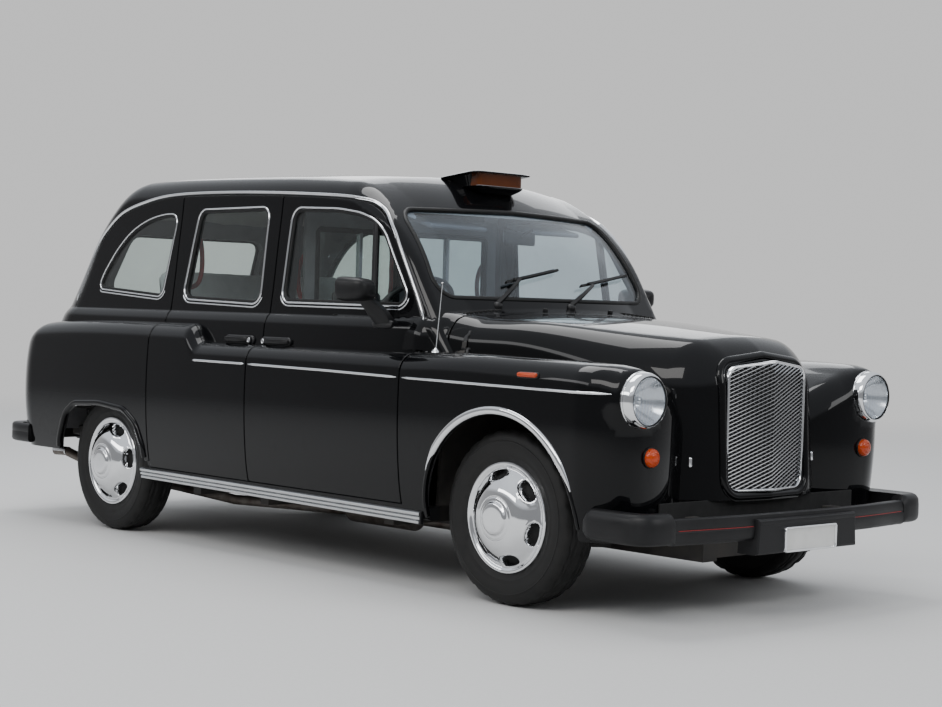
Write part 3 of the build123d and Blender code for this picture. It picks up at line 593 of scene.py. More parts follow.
def lathe(profile, centre, n=96, close=False, axis="y"):
    """profile: (radius, height) pairs, turned about an axis through centre."""
    pr = np.array(profile, float)
    a = np.linspace(0, 2 * PI, n, endpoint=False)
    r, h = pr[:, 0], pr[:, 1]
    A, R = np.meshgrid(a, r, indexing="ij")
    H = np.broadcast_to(h, A.shape)
    u, v = R * np.cos(A), R * np.sin(A)
    if axis == "y":
        P = np.stack([u, H, v], -1)
    elif axis == "x":
        P = np.stack([H, u, v], -1)
    else:
        P = np.stack([u, v, H], -1)
    return P.reshape(-1, 3) + np.array(centre, float), grid_faces(n, len(pr), True, close)


def sweep(path, prof, up, closed=False, cap=True, scale=None):
    """A closed profile [(across, out)...] carried along a path; up is the outward direction at each point (or one direction)."""
    path = np.asarray(path, float)
    n = len(path)
    if closed:
        tg = np.roll(path, -1, 0) - np.roll(path, 1, 0)
    else:
        tg = np.gradient(path, axis=0)
    tg = unit(tg)
    up = np.broadcast_to(np.asarray(up, float), path.shape)
    up = unit(up - tg * (up * tg).sum(-1, keepdims=True))
    side = np.cross(up, tg)
    pr = np.array(prof, float)
    s = np.ones(n) if scale is None else np.asarray(scale, float)
    P = path[:, None] + side[:, None] * (pr[None, :, 0] * s[:, None])[..., None] + up[:, None] * (pr[None, :, 1] * s[:, None])[..., None]
    k = len(pr)
    F = grid_faces(n, k, closed, True)
    area = sum(pr[i, 0] * pr[(i + 1) % k, 1] - pr[(i + 1) % k, 0] * pr[i, 1] for i in range(k))
    if area < 0:
        F = F[:, ::-1]
    F = F.tolist()
    if cap and not closed:
        a = list(range(k))
        b = [(n - 1) * k + i for i in range(k)]
        if area < 0:
            a, b = a[::-1], b[::-1]
        F += [a, b[::-1]]
    return P.reshape(-1, 3), F


def oval(w, h, n=10, y0=0.0, p=1.0):
    """A rounded profile, w across and h out of the surface, standing on y0."""
    out = []
    for i in range(n):
        t = 2 * PI * i / n
        c, s = math.cos(t), math.sin(t)
        out.append((w / 2 * math.copysign(abs(c) ** p, c), y0 + h / 2 + h / 2 * math.copysign(abs(s) ** p, s)))
    return out


def dome(w, h, n=7, sink=.004):
    """A half-round strip profile, w across and h high."""
    pts = [(w / 2 * math.cos(PI * i / (n - 1)), h * math.sin(PI * i / (n - 1))) for i in range(n)]
    return pts + [(-w / 2, -sink), (w / 2, -sink)]


def boxy(x0, x1, y0, y1, z0, z1, r=.006, n=3):
    """A block with rounded edges, as points and faces."""
    lo, hi = np.array([x0, y0, z0], float), np.array([x1, y1, z1], float)
    r = min(r, .49 * float((hi - lo).min()))
    m = n + 1
    # a cube's six faces as grids whose border rows wrap the rounding
    prm = np.concatenate([-np.linspace(1, 0, m), np.linspace(0, 1, m)])
    side = np.array([-1] * m + [1] * m)
    P, F, o = [], [], 0
    c, hf = (lo + hi) / 2, (hi - lo) / 2 - r
    for ax in range(3):
        for sg in (-1, 1):
            u, v = (ax + 1) % 3, (ax + 2) % 3
            U, Vv = np.meshgrid(prm, prm, indexing="ij")
            SU, SV = np.meshgrid(side, side, indexing="ij")
            d = np.zeros(U.shape + (3,))
            d[..., u], d[..., v], d[..., ax] = np.tan(U * PI / 4), np.tan(Vv * PI / 4), sg
            d = unit(d)
            q = d * r
            q[..., u] += SU * hf[u]
            q[..., v] += SV * hf[v]
            q[..., ax] += sg * hf[ax]
            P.append((q + c).reshape(-1, 3))
            F.append(grid_faces(2 * m, 2 * m, flip=sg < 0) + o)
            o += 4 * m * m
    return np.vstack(P), np.vstack(F)


# ======================================================================
# Materials
# ======================================================================


def mat(name, base, rough=.5, metal=0.0, coat=0.0, coat_rough=.03, spec=.5, sheen=0.0, ior=1.5):
    m = bpy.data.materials.new(name)
    m.use_nodes = True
    nt = m.node_tree
    b = nt.nodes["Principled BSDF"]
    b.inputs["Base Color"].default_value = (*base, 1)
    b.inputs["Roughness"].default_value = rough
    b.inputs["Metallic"].default_value = metal
    b.inputs["Coat Weight"].default_value = coat
    b.inputs["Coat Roughness"].default_value = coat_rough
    b.inputs["Specular IOR Level"].default_value = spec
    b.inputs["Sheen Weight"].default_value = sheen
    b.inputs["IOR"].default_value = ior
    return m, nt, b


def coords(nt, scale=(1, 1, 1)):
    tc = nt.nodes.new("ShaderNodeTexCoord")
    mp = nt.nodes.new("ShaderNodeMapping")
    mp.inputs["Scale"].default_value = scale
    nt.links.new(tc.outputs["Object"], mp.inputs["Vector"])
    return mp.outputs["Vector"]


def noise(nt, scale, detail=3, rough=.5, stretch=(1, 1, 1), dist=0.0):
    t = nt.nodes.new("ShaderNodeTexNoise")
    t.inputs["Scale"].default_value = scale
    t.inputs["Detail"].default_value = detail
    t.inputs["Roughness"].default_value = rough
    t.inputs["Distortion"].default_value = dist
    nt.links.new(coords(nt, stretch), t.inputs["Vector"])
    return t.outputs["Fac"]


def ramp(nt, fac, stops):
    r = nt.nodes.new("ShaderNodeValToRGB")
    e = r.color_ramp.elements
    e[0].position, e[0].color = stops[0][0], (*stops[0][1], 1)
    e[1].position, e[1].color = stops[-1][0], (*stops[-1][1], 1)
    for p, c in stops[1:-1]:
        q = e.new(p)
        q.color = (*c, 1)
    nt.links.new(fac, r.inputs["Fac"])
    return r.outputs["Color"]


def maprange(nt, fac, a, b, lo, hi):
    m = nt.nodes.new("ShaderNodeMapRange")
    m.inputs["From Min"].default_value, m.inputs["From Max"].default_value = a, b
    m.inputs["To Min"].default_value, m.inputs["To Max"].default_value = lo, hi
    nt.links.new(fac, m.inputs["Value"])
    return m.outputs["Result"]


def bump(nt, b, height, strength, dist=.001, coat=False):
    n = nt.nodes.new("ShaderNodeBump")
    n.inputs["Strength"].default_value = strength
    n.inputs["Distance"].default_value = dist
    nt.links.new(height, n.inputs["Height"])
    nt.links.new(n.outputs["Normal"], b.inputs["Normal"])
    if coat:
        nt.links.new(n.outputs["Normal"], b.inputs["Coat Normal"])
    return n


def mixc(nt, fac, a, b):
    """a and b are colours or sockets."""
    m = nt.nodes.new("ShaderNodeMix")
    m.data_type = "RGBA"
    nt.links.new(fac, m.inputs[0])
    for s, v in ((m.inputs[6], a), (m.inputs[7], b)):
        if isinstance(v, tuple):
            s.default_value = (*v, 1)
        else:
            nt.links.new(v, s)
    return m.outputs[2]


def height_z(nt):
    tc = nt.nodes.new("ShaderNodeTexCoord")
    sp = nt.nodes.new("ShaderNodeSeparateXYZ")
    nt.links.new(tc.outputs["Object"], sp.inputs[0])
    return sp.outputs["Z"]


def varied(name, dark, light, scale, rough=(.4, .55), metal=0.0, bump_scale=None, bump_strength=.1, bump_dist=.0005, detail=4, stretch=(1, 1, 1), **kw):
    """A material whose colour and roughness drift between two values, with a fine grain."""
    m, nt, b = mat(name, light, rough[0], metal, **kw)
    f = noise(nt, scale, detail, .55, stretch)
    nt.links.new(ramp(nt, f, [(.3, dark), (.7, light)]), b.inputs["Base Color"])
    nt.links.new(maprange(nt, f, .3, .7, rough[0], rough[1]), b.inputs["Roughness"])
    if bump_scale:
        bump(nt, b, noise(nt, bump_scale, 3, .6, stretch), bump_strength, bump_dist)
    return m


def make_paint():
    m, nt, b = mat("black_paint", (.0045, .0047, .0055), .22, 0, coat=1.0, coat_rough=.015, spec=.02)
    b.inputs["Coat IOR"].default_value = 1.31
    big = noise(nt, 3.2, 4, .6)
    fine = noise(nt, 900, 2, .5)
    dust = maprange(nt, height_z(nt), .26, .42, 1.0, 0.0)
    mul = nt.nodes.new("ShaderNodeMath")
    mul.operation = "MULTIPLY"
    nt.links.new(dust, mul.inputs[0])
    nt.links.new(maprange(nt, big, .35, .75, .0, .30), mul.inputs[1])
    base = ramp(nt, fine, [(.35, (.0022, .0023, .0028)), (.65, (.0032, .0033, .0039))])
    nt.links.new(mixc(nt, mul.outputs[0], base, (.014, .013, .012)), b.inputs["Base Color"])
    nt.links.new(maprange(nt, big, .3, .7, .18, .30), b.inputs["Roughness"])
    bump(nt, b, noise(nt, 260, 2, .5), .012, .0004, coat=False)
    return m


PAINT = make_paint()
PAINT_IN = varied("black_paint_inner", (.006, .006, .007), (.012, .012, .013), 9, (.35, .5), bump_scale=300, bump_strength=.05)


def make_metal(name, dark, light, rough, scale=14, stretch=(1, 1, 1), bs=500, bstr=.02):
    m, nt, b = mat(name, light, rough[0], 1.0)
    f = noise(nt, scale, 5, .6, stretch)
    nt.links.new(ramp(nt, f, [(.3, dark), (.7, light)]), b.inputs["Base Color"])
    nt.links.new(maprange(nt, f, .3, .7, rough[0], rough[1]), b.inputs["Roughness"])
    bump(nt, b, noise(nt, bs, 2, .5, stretch), bstr, .0003)
    return m


CHROME = make_metal("bright_trim", (.78, .79, .81), (.86, .87, .88), (.03, .06))
STEEL = make_metal("brushed_steel", (.60, .61, .62), (.66, .67, .68), (.20, .26), 8, (1, 1, 1), 700, .02)
ALU = make_metal("wheel_cover_silver", (.50, .51, .53), (.66, .67, .69), (.26, .36), 22, (1, 1, 1), 900, .04)
RUBBER = varied("seal_rubber", (.003, .003, .003), (.007, .007, .007), 40, (.40, .55), spec=.3, bump_scale=700, bump_strength=.10)
PLASTIC = varied("black_plastic", (.0055, .0055, .006), (.010, .010, .011), 14, (.36, .48), spec=.3, bump_scale=1500, bump_strength=.22, bump_dist=.0004)
# near-black matte put in slots, vents and openings: painted shade where the openings show dark depth
DARK = varied("painted_cavity_shade", (.002, .002, .002), (.005, .005, .005), 20, (.7, .9))
UNDER = varied("underbody_metal", (.020, .019, .018), (.055, .050, .045), 11, (.62, .85), bump_scale=140, bump_strength=.25, bump_dist=.001)


def make_tyre():
    m, nt, b = mat("tyre_rubber", (.010, .010, .011), .7, spec=.3)
    f = noise(nt, 26, 5, .6)
    nt.links.new(ramp(nt, f, [(.3, (.006, .006, .006)), (.7, (.014, .0135, .013))]), b.inputs["Base Color"])
    nt.links.new(maprange(nt, f, .3, .7, .50, .68), b.inputs["Roughness"])
    bump(nt, b, noise(nt, 600, 3, .6), .12, .0005)
    return m


TYRE = make_tyre()


def make_glass(name, tint, reflect=1.0, rough=.02, ior=1.5):
    """Thin clear glass: what is behind shows through, tinted, and the surface mirrors by angle."""
    m = bpy.data.materials.new(name)
    m.use_nodes = True
    nt = m.node_tree
    nt.nodes.clear()
    out = nt.nodes.new("ShaderNodeOutputMaterial")
    tr = nt.nodes.new("ShaderNodeBsdfTransparent")
    gl = nt.nodes.new("ShaderNodeBsdfGlossy")
    gl.inputs["Roughness"].default_value = rough
    gl.inputs["Color"].default_value = (reflect, reflect, reflect, 1)
    f = noise(nt, 2.5, 3, .5)
    nt.links.new(ramp(nt, f, [(.3, tuple(c * .96 for c in tint)), (.7, tint)]), tr.inputs["Color"])
    lw = nt.nodes.new("ShaderNodeLayerWeight")
    lw.inputs["Blend"].default_value = .5
    pw = nt.nodes.new("ShaderNodeMath")
    pw.operation = "POWER"
    nt.links.new(lw.outputs["Facing"], pw.inputs[0])
    pw.inputs[1].default_value = 4.0
    f0 = ((ior - 1) / (ior + 1)) ** 2
    mx = nt.nodes.new("ShaderNodeMixShader")
    nt.links.new(maprange(nt, pw.outputs[0], 0, 1, f0, .90), mx.inputs[0])
    nt.links.new(tr.outputs[0], mx.inputs[1])
    nt.links.new(gl.outputs[0], mx.inputs[2])
    nt.links.new(mx.outputs[0], out.inputs[0])
    return m


GLASS = make_glass("clear_glass", (.90, .935, .925))
GLASS_SCREEN = make_glass("screen_glass", (.82, .88, .93), 1.0, .015, 1.55)


def make_lamp_glass():
    """Clear ribbed lamp glass: mostly seen through, with a milky share and upright flutes that catch the light."""
    m = bpy.data.materials.new("lamp_lens")
    m.use_nodes = True
    nt = m.node_tree
    b = nt.nodes["Principled BSDF"]
    out = nt.nodes["Material Output"]
    b.inputs["Base Color"].default_value = (.42, .46, .50, 1)
    b.inputs["Roughness"].default_value = .08
    b.inputs["Coat Weight"].default_value = 1.0
    b.inputs["Coat Roughness"].default_value = .02
    w = nt.nodes.new("ShaderNodeTexWave")
    w.inputs["Scale"].default_value = 21
    w.bands_direction = "Y"
    w.inputs["Distortion"].default_value = .25
    nt.links.new(coords(nt), w.inputs["Vector"])
    bump(nt, b, w.outputs["Fac"], .6, .004, coat=True)
    tr = nt.nodes.new("ShaderNodeBsdfTransparent")
    nt.links.new(ramp(nt, w.outputs["Fac"], [(.2, (.80, .84, .88)), (.8, (.97, .98, .99))]), tr.inputs["Color"])
    mx = nt.nodes.new("ShaderNodeMixShader")
    nt.links.new(maprange(nt, w.outputs["Fac"], 0, 1, .16, .34), mx.inputs[0])
    nt.links.new(tr.outputs[0], mx.inputs[1])
    nt.links.new(b.outputs[0], mx.inputs[2])
    nt.links.new(mx.outputs[0], out.inputs[0])
    return m


LENS_CLEAR = make_lamp_glass()


def make_lens(name, col, rough=.12, scale=260, emission=0.0):
    m, nt, b = mat(name, col, rough, 0, coat=.35, coat_rough=.04, spec=.25)
    f = noise(nt, 8, 3, .5)
    nt.links.new(ramp(nt, f, [(.3, tuple(c * .8 for c in col)), (.7, col)]), b.inputs["Base Color"])
    w = nt.nodes.new("ShaderNodeTexWave")
    w.inputs["Scale"].default_value = scale
    w.bands_direction = "Y"
    nt.links.new(coords(nt), w.inputs["Vector"])
    bump(nt, b, w.outputs["Fac"], .25, .0008)
    return m


LENS_RED = make_lens("red_lens", (.30, .006, .008))
LENS_AMBER = make_lens("amber_lens", (.50, .050, .003))
LENS_ROOF = make_lens("amber_roof_lens", (.105, .024, .002), .12, 60)
LENS_WHITE = make_lens("pale_lens", (.75, .76, .78))
RED_PLASTIC = varied("red_plastic", (.26, .006, .008), (.36, .010, .012), 20, (.28, .4), bump_scale=900, bump_strength=.08)


def make_weave(name, dark, light, scale=420, sheen=.25, rough=.85, strength=.35):
    """Woven cloth: crossed threads, soft blotches and a little sheen."""
    m, nt, b = mat(name, light, rough, 0, sheen=sheen)
    wx = nt.nodes.new("ShaderNodeTexWave")
    wx.inputs["Scale"].default_value = scale
    wx.bands_direction = "X"
    wy = nt.nodes.new("ShaderNodeTexWave")
    wy.inputs["Scale"].default_value = scale
    wy.bands_direction = "Z"
    wz = nt.nodes.new("ShaderNodeTexWave")
    wz.inputs["Scale"].default_value = scale
    wz.bands_direction = "Y"
    c = coords(nt)
    for w in (wx, wy, wz):
        w.inputs["Distortion"].default_value = .6
        nt.links.new(c, w.inputs["Vector"])
    a1 = nt.nodes.new("ShaderNodeMath")
    a1.operation = "ADD"
    nt.links.new(wx.outputs["Fac"], a1.inputs[0])
    nt.links.new(wy.outputs["Fac"], a1.inputs[1])
    a2 = nt.nodes.new("ShaderNodeMath")
    a2.operation = "ADD"
    nt.links.new(a1.outputs[0], a2.inputs[0])
    nt.links.new(wz.outputs["Fac"], a2.inputs[1])
    f = noise(nt, 12, 4, .6)
    col = ramp(nt, f, [(.3, dark), (.7, light)])
    th = maprange(nt, a2.outputs[0], .6, 2.4, 0, .55)
    nt.links.new(mixc(nt, th, col, tuple(c * .55 for c in dark)), b.inputs["Base Color"])
    bump(nt, b, a2.outputs[0], strength, .0006)
    return m


CLOTH = make_weave("seat_cover_grey", (.58, .59, .61), (.74, .75, .77))
CLOTH_DARK = make_weave("cab_seat_dark", (.020, .021, .024), (.045, .047, .052))
CARPET = make_weave("floor_carpet", (.018, .018, .019), (.040, .040, .042), 260, .1, .95, .6)
TRIMBOARD = varied("interior_trim", (.030, .030, .032), (.055, .055, .058), 8, (.5, .66), bump_scale=800, bump_strength=.2)
HEADLINE = varied("headlining", (.42, .41, .38), (.56, .55, .52), 6, (.8, .9), bump_scale=900, bump_strength=.25)
LINER = varied("grey_trim_panel", (.16, .16, .17), (.24, .24, .25), 7, (.5, .65), bump_scale=700, bump_strength=.15)
PLATE_W = varied("plate_blank_pale", (.62, .62, .60), (.74, .74, .72), 10, (.3, .4), bump_scale=700, bump_strength=.05)
PLATE_Y = varied("plate_blank_yellow", (.66, .46, .03), (.74, .54, .05), 10, (.3, .4), bump_scale=700, bump_strength=.05)
REFLECTOR = make_metal("lamp_reflector", (.80, .81, .83), (.93, .93, .94), (.16, .24), 18)

# ======================================================================
# Body panels
# ======================================================================
A, B, C = .883, -.162, -.952  # shut lines: front of the front door, between the doors, back of the rear door
RAIL = [(.842, 1.083), (.800, 1.168), (.737, 1.277), (.655, 1.405), (.610, 1.462), (.565, 1.509), (.520, 1.545), (.470, 1.571), (.415, 1.588), (.320, 1.603), (.167, 1.615), (-.158, 1.632), (-.546, 1.645), (-.924, 1.648), (-1.155, 1.636), (-1.320, 1.610), (-1.470, 1.570), (-1.579, 1.503), (-1.662, 1.421), (-1.722, 1.325), (-1.768, 1.240), (-1.822, 1.125)]
RAIL_X = Spl([(i, p[0]) for i, p in enumerate(RAIL)])
RAIL_Z = Spl([(i, p[1]) for i, p in enumerate(RAIL)])
_t = np.linspace(0, len(RAIL) - 1, 220)
RAIL_LINE = np.stack([RAIL_X(_t), RAIL_Z(_t)], 1)
RAIL_POLY = np.vstack([RAIL_LINE, [(-1.85, .90), (.98, .90)]])
WIN_FRONT = rounded([(-.075, 1.563), (.241, 1.552), (.390, 1.532), (.492, 1.500), (.564, 1.446), (.772, 1.141), (-.088, 1.147)], [.056, .8, .4, .25, .20, .045, .050], 9)
WIN_REAR = rounded([(-.800, 1.568), (-.255, 1.570), (-.250, 1.134), (-.865, 1.150)], .054, 9)
WIN_QTR = rounded([(-1.622, 1.191), (-1.046, 1.156), (-.984, 1.551), (-1.095, 1.553), (-1.235, 1.532), (-1.385, 1.472), (-1.500, 1.373), (-1.590, 1.263)], [.036, .044, .046, .5, .6, .6, .6, .5], 9)
WIN_SCREEN = rounded([(-.634, 1.184), (.634, 1.184), (.602, 1.553), (0, 1.566), (-.602, 1.553)], [.080, .080, .080, .3, .080], 9)
WIN_BACK = rounded([(-.470, 1.165), (.470, 1.165), (.420, 1.478), (-.420, 1.478)], .080, 9)
ARCH_R = rounded([(-1.790, .250), (-1.765, .420), (-1.690, .560), (-1.600, .612), (-1.372, .624), (-1.150, .606), (-1.050, .545), (-1.000, .440), (-.985, .250)], [0, .12, .12, .12, .5, .12, .10, .10, 0], 9)
ARCH_F = (1.448, .325, .416)
BOOT = rounded([(-.427, .485), (.427, .485), (.427, 1.053), (-.427, 1.053)], .05, 7)
SILL_TOP = .342
G = .0030  # half of a shut gap
E = .0028  # radius of a panel's edge

H = .0238
CAB = nets(f_cabin, (-2.25, -.85, .93), (1.02, .85, 1.80), H)
SIDE = nets(f_side, (-2.34, -.92, .25), (.905, .92, 1.13), H)
WING = nets(f_wing, (.83, -.91, .27), (2.10, .91, 1.02), H)
CAB = refine(*CAB, f_cabin, lambda P: P[:, 2] - 1.066, .032, .012)
SIDE = refine(*SIDE, f_side, lambda P: np.abs(P[:, 0] + .614) - .05 + 2 * np.abs(P[:, 2] - .97), .06, .010)
BON = nets(f_bonnet, (.915, -.73, .42), (2.13, .73, 1.18), H * .85)
SCUT = nets(f_scuttle, (.74, -.80, .95), (1.11, .80, 1.22), H)


def left_half(b):
    P, T = b
    return P, T[(P[:, 1] > 0)[T].all(1)]


CAB_L, SIDE_L, WING_L = left_half(CAB), left_half(SIDE), left_half(WING)


def every(*gs):
    def g(P):
        v = gs[0](P)
        for q in gs[1:]:
            v = np.maximum(v, q(P))
        return v
    return g


def hid(f, d=.02):
    """Drops what lies deeper than d inside another surface."""
    return lambda P: -d - at(f, P)


def x_from(a):
    return lambda P: a - P[:, 0]


def x_to(a):
    return lambda P: P[:, 0] - a


def z_from(a):
    return lambda P: a - P[:, 2]


def z_to(a):
    return lambda P: P[:, 2] - a


def in_xz(poly, grow=0.0):
    return lambda P: sd_poly(P[:, 0], P[:, 2], poly) - grow


def out_xz(poly, grow=0.0):
    return lambda P: grow - sd_poly(P[:, 0], P[:, 2], poly)


def circle_out(c):
    return lambda P: c[2] - np.hypot(P[:, 0] - c[0], P[:, 2] - c[1])


def paired(name, parts, mats, nodes=None, bodies=None):
    """The left piece and its mirror."""
    m = join(*parts)
    for side, q in (("left", m), ("right", mirror(m))):
        P, T, N = q
        mesh_object(f"{name}_{side}", P, T, N, mats, (bodies or "root").replace("SIDE", side), [n.replace("SIDE", side) for n in (nodes or [])])


# --- front doors: below the glass, and the window frame up to the drip rail
RAIL_IN = .011
front = every(x_to(A - G - E), x_from(B + G + E), z_from(SILL_TOP + G + E))
low = panel(SIDE_L, every(front, hid(f_cabin)), f_side)
up = panel(CAB_L, every(front, in_xz(RAIL_POLY, -RAIL_IN - E), out_xz(WIN_FRONT, E), hid(f_side)), f_cabin)
paired("front_door_skin", [low, up], [PAINT], ["front_door_SIDE"], "front_door_SIDE")

rear = every(x_to(B - G - E), x_from(C + G + E), z_from(SILL_TOP + G + E), out_xz(ARCH_R, G + E))
low = panel(SIDE_L, every(rear, hid(f_cabin)), f_side)
up = panel(CAB_L, every(rear, in_xz(RAIL_POLY, -RAIL_IN - E), out_xz(WIN_REAR, E), hid(f_side)), f_cabin)
paired("rear_door_skin", [low, up], [PAINT], ["rear_door_SIDE"], "rear_door_SIDE")

# --- body sides behind the doors, and the posts and rail round the doors
qtr = every(x_to(C - G - E), in_xz(RAIL_POLY, -.002), out_xz(WIN_QTR, E), hid(f_side))
post = every(x_from(A + G + E), in_xz(RAIL_POLY, -.002), hid(f_side), hid(f_scuttle), hid(f_wing))
over = every(in_xz(RAIL_POLY, -.002), out_xz(RAIL_POLY, -RAIL_IN + E + .002), x_from(C - G - E), hid(f_side))
sill = every(z_to(SILL_TOP - G), z_from(.283), x_from(-.960), x_to(1.02), out_xz(ARCH_R, E))
paired("body_side_skin", [panel(CAB_L, qtr, f_cabin), panel(CAB_L, post, f_cabin), panel(CAB_L, over, f_cabin), panel(SIDE_L, sill, f_side)], [PAINT], [], "root")

# --- roof with the windscreen frame and the back of the cabin
roof = every(out_xz(RAIL_POLY, .001), z_from(.93),
             lambda P: np.where(P[:, 0] > 0, -sd_poly(P[:, 1], P[:, 2], WIN_SCREEN) + E, -1),
             lambda P: np.where(P[:, 0] < -1, -sd_poly(P[:, 1], P[:, 2], WIN_BACK) + E, -1),
             hid(f_side), hid(f_scuttle))
P, T, N = panel(CAB, roof, f_cabin)
mesh_object("roof_skin", P, T, N, [PAINT], "root", ["roof_panel"])

# --- rear wings, tail and boot lid
rw = every(x_to(C - G - E), out_xz(ARCH_R, E), z_from(.372), hid(f_cabin),
           lambda P: np.where(P[:, 0] < -1.9, E + G - sd_poly(P[:, 1], P[:, 2], BOOT), -1))
P, T, N = panel(SIDE, rw, f_side)
mesh_object("rear_wings_and_tail_skin", P, T, N, [PAINT], "root", ["rear_wings", "tail_panel"])
bt = every(lambda P: np.where(P[:, 0] < -1.9, sd_poly(P[:, 1], P[:, 2], BOOT) + G + E, 1), hid(f_cabin, .005))
P, T, N = panel(SIDE, bt, f_side)
mesh_object("boot_lid_skin", P, T, N, [PAINT], "boot_lid", ["boot_lid"])

# --- front wings, bonnet, scuttle
fw = every(x_from(.886 + E), circle_out((ARCH_F[0], ARCH_F[1], ARCH_F[2] + E)), z_from(.300), hid(f_bonnet, .012),
           lambda P: np.where(P[:, 0] < 1.95, -1, .118 - np.hypot(np.abs(P[:, 1]) - .697, P[:, 2] - .819) - .018))
P, T, N = panel(WING, fw, f_wing)
mesh_object("front_wings_skin", P, T, N, [PAINT], "root", ["front_wings"])

GRILLE = rounded([(-.234, .467), (.234, .467), (.236, .942), (0, .968), (-.236, .942)], [.058, .058, .052, .001, .052], 9)


def shut(P):
    """The bonnet's rear shut line, bowed back towards the sides."""
    return P[:, 0] - (1.054 - .098 * np.minimum(1, (np.abs(P[:, 1]) / .62) ** 2))


bn = every(lambda P: G + E - shut(P), hid(f_wing, .012),
           lambda P: np.where(P[:, 0] > 1.96, -sd_poly(P[:, 1], P[:, 2], GRILLE) + E - .006, -1), z_from(.440))
P, T, N = panel(BON, bn, f_bonnet)
mesh_object("bonnet_skin", P, T, N, [PAINT], "bonnet", ["bonnet"])
REAR = P[P[:, 0] < 1.24]
sc = every(lambda P: shut(P) + G + E, x_from(.76), hid(f_cabin, .03), hid(f_wing, .03))
P, T, N = panel(SCUT, sc, f_scuttle)
mesh_object("scuttle_skin", P, T, N, [PAINT], "root", ["scuttle"])

# the body's surface carried on a little deeper where scuttle, cabin and wing meet
P, T = nets(lambda x, y, z: f_all(x, y, z) + .0045, (.893, -.92, .86), (1.34, .92, 1.125), H)
ok = (at(f_bonnet, P) > .008) & (P[:, 0] > .897) & (P[:, 0] < 1.33) & (P[:, 2] < 1.12)
# left open where the bonnet's rear corners pass as it lifts
sweep_tree = kdtree.KDTree(len(REAR) * 10)
for k in range(10):
    a_ = math.radians(5 + 5 * k)
    dx, dz = REAR[:, 0] - 1.05, REAR[:, 2] - 1.136
    q = np.stack([1.05 + dx * math.cos(a_) - dz * math.sin(a_), REAR[:, 1], 1.136 + dx * math.sin(a_) + dz * math.cos(a_)], 1)
    for i_, p_ in enumerate(q):
        sweep_tree.insert(p_, k * len(REAR) + i_)
sweep_tree.balance()
near_ = np.array([sweep_tree.find(p_)[2] for p_ in P])
ok &= ~((near_ < .0150) & (P[:, 0] > .985))
P, T, _ = tidy(P, T[ok[T].all(1)])
mesh_object("wing_valley_skin", P, T, None, [PAINT], "root", [])

# ======================================================================
# Glass, seals and bright trims that follow the surfaces
# ======================================================================


def on_side(xz, f=f_cabin, y0=.30):
    xz = np.asarray(xz, float)
    P = cast(f, np.stack([xz[:, 0], np.full(len(xz), y0), xz[:, 1]], 1), np.array([0, 1.0, 0]), .68)
    return P, normal(f, P)


def on_front(yz, f=f_cabin, x0=.15, sg=1.0):
    yz = np.asarray(yz, float)
    P = cast(f, np.stack([np.full(len(yz), x0), yz[:, 0], yz[:, 1]], 1), np.array([sg, 0, 0.0]), 1.1)
    return P, normal(f, P)


def offset2(pts, d):
    """A closed outline moved outward by d (inward if d < 0)."""
    p = np.asarray(pts, float)
    t = unit(np.roll(p, -1, 0) - np.roll(p, 1, 0))
    n = np.stack([t[:, 1], -t[:, 0]], 1)
    area = np.sum(p[:, 0] * np.roll(p[:, 1], -1) - np.roll(p[:, 0], -1) * p[:, 1])
    return p + n * d * (1 if area > 0 else -1)


def slab(base, g, f, d, t):
    """A curved pane: d below the surface and t thick."""
    P, T = base
    keep = (g(P) < .03)[T].any(1)
    P, T, _ = tidy(P, T[keep])
    P, T = refine(P, T, f, g, .004, .010)
    P, T, bd = cut(P, T, f, g)
    N = normal(f, P)
    n = len(P)
    Q = np.vstack([P - N * d, P - N * (d + t)])
    F = [T, T[:, ::-1] + n, np.stack([bd[:, 1], bd[:, 0], bd[:, 0] + n], 1), np.stack([bd[:, 1], bd[:, 0] + n, bd[:, 1] + n], 1)]
    return Q, np.vstack(F), np.vstack([N, -N])


def pane(name, base, g, f, mat_, body, nodes, both=False, d=.010, t=.004):
    m = slab(base, g, f, d, t)
    if not both:
        mesh_object(name, *m, [mat_], body, nodes)
        return
    for side, q in (("left", m), ("right", mirror(m))):
        mesh_object(f"{name}_{side}", *q, [mat_], body.replace("SIDE", side), [n_.replace("SIDE", side) for n_ in nodes])


cab_side = (CAB_L[0], CAB_L[1])
pane("front_door_window", cab_side, in_xz(WIN_FRONT, .010), f_cabin, GLASS, "front_door_SIDE", ["front_door_glass_SIDE"], True, .011)
pane("rear_door_window", cab_side, in_xz(WIN_REAR, .010), f_cabin, GLASS, "rear_door_SIDE", ["rear_door_glass_SIDE"], True, .011)
m = slab(cab_side, in_xz(WIN_QTR, .010), f_cabin, .007, .004)
m = join(m, mirror(m))
mesh_object("quarter_windows_glass", *m, [GLASS], "root", ["quarter_windows"])
pane("windscreen_glass", CAB, lambda P: np.where(P[:, 0] > 0, sd_poly(P[:, 1], P[:, 2], WIN_SCREEN) - .012, 1), f_cabin, GLASS_SCREEN, "root", ["windscreen"], False, .007, .005)
pane("rear_window_glass", CAB, lambda P: np.where(P[:, 0] < -1, sd_poly(P[:, 1], P[:, 2], WIN_BACK) - .012, 1), f_cabin, GLASS, "root", ["rear_window"], False, .007, .005)


def both_sides(P, F):
    """Points and faces of a left-hand thing and its mirror."""
    P = np.asarray(P, float)
    Q = P * np.array([1, -1, 1.0])
    return P, F, Q, [list(f)[::-1] for f in (F.tolist() if isinstance(F, np.ndarray) else F)]


def sided(name, items, body, nodes=(), sharp=50):
    """items: (P, F, material) of the left-hand piece; makes it and its mirror."""
    for side in ("left", "right"):
        g = Group()
        for P, F, m_ in items:
            a, b, c, d = both_sides(P, F)
            g.add(*((a, b) if side == "left" else (c, d)), m_)
        g.make(f"{name}_{side}", body.replace("SIDE", side), [n_.replace("SIDE", side) for n_ in nodes], sharp)


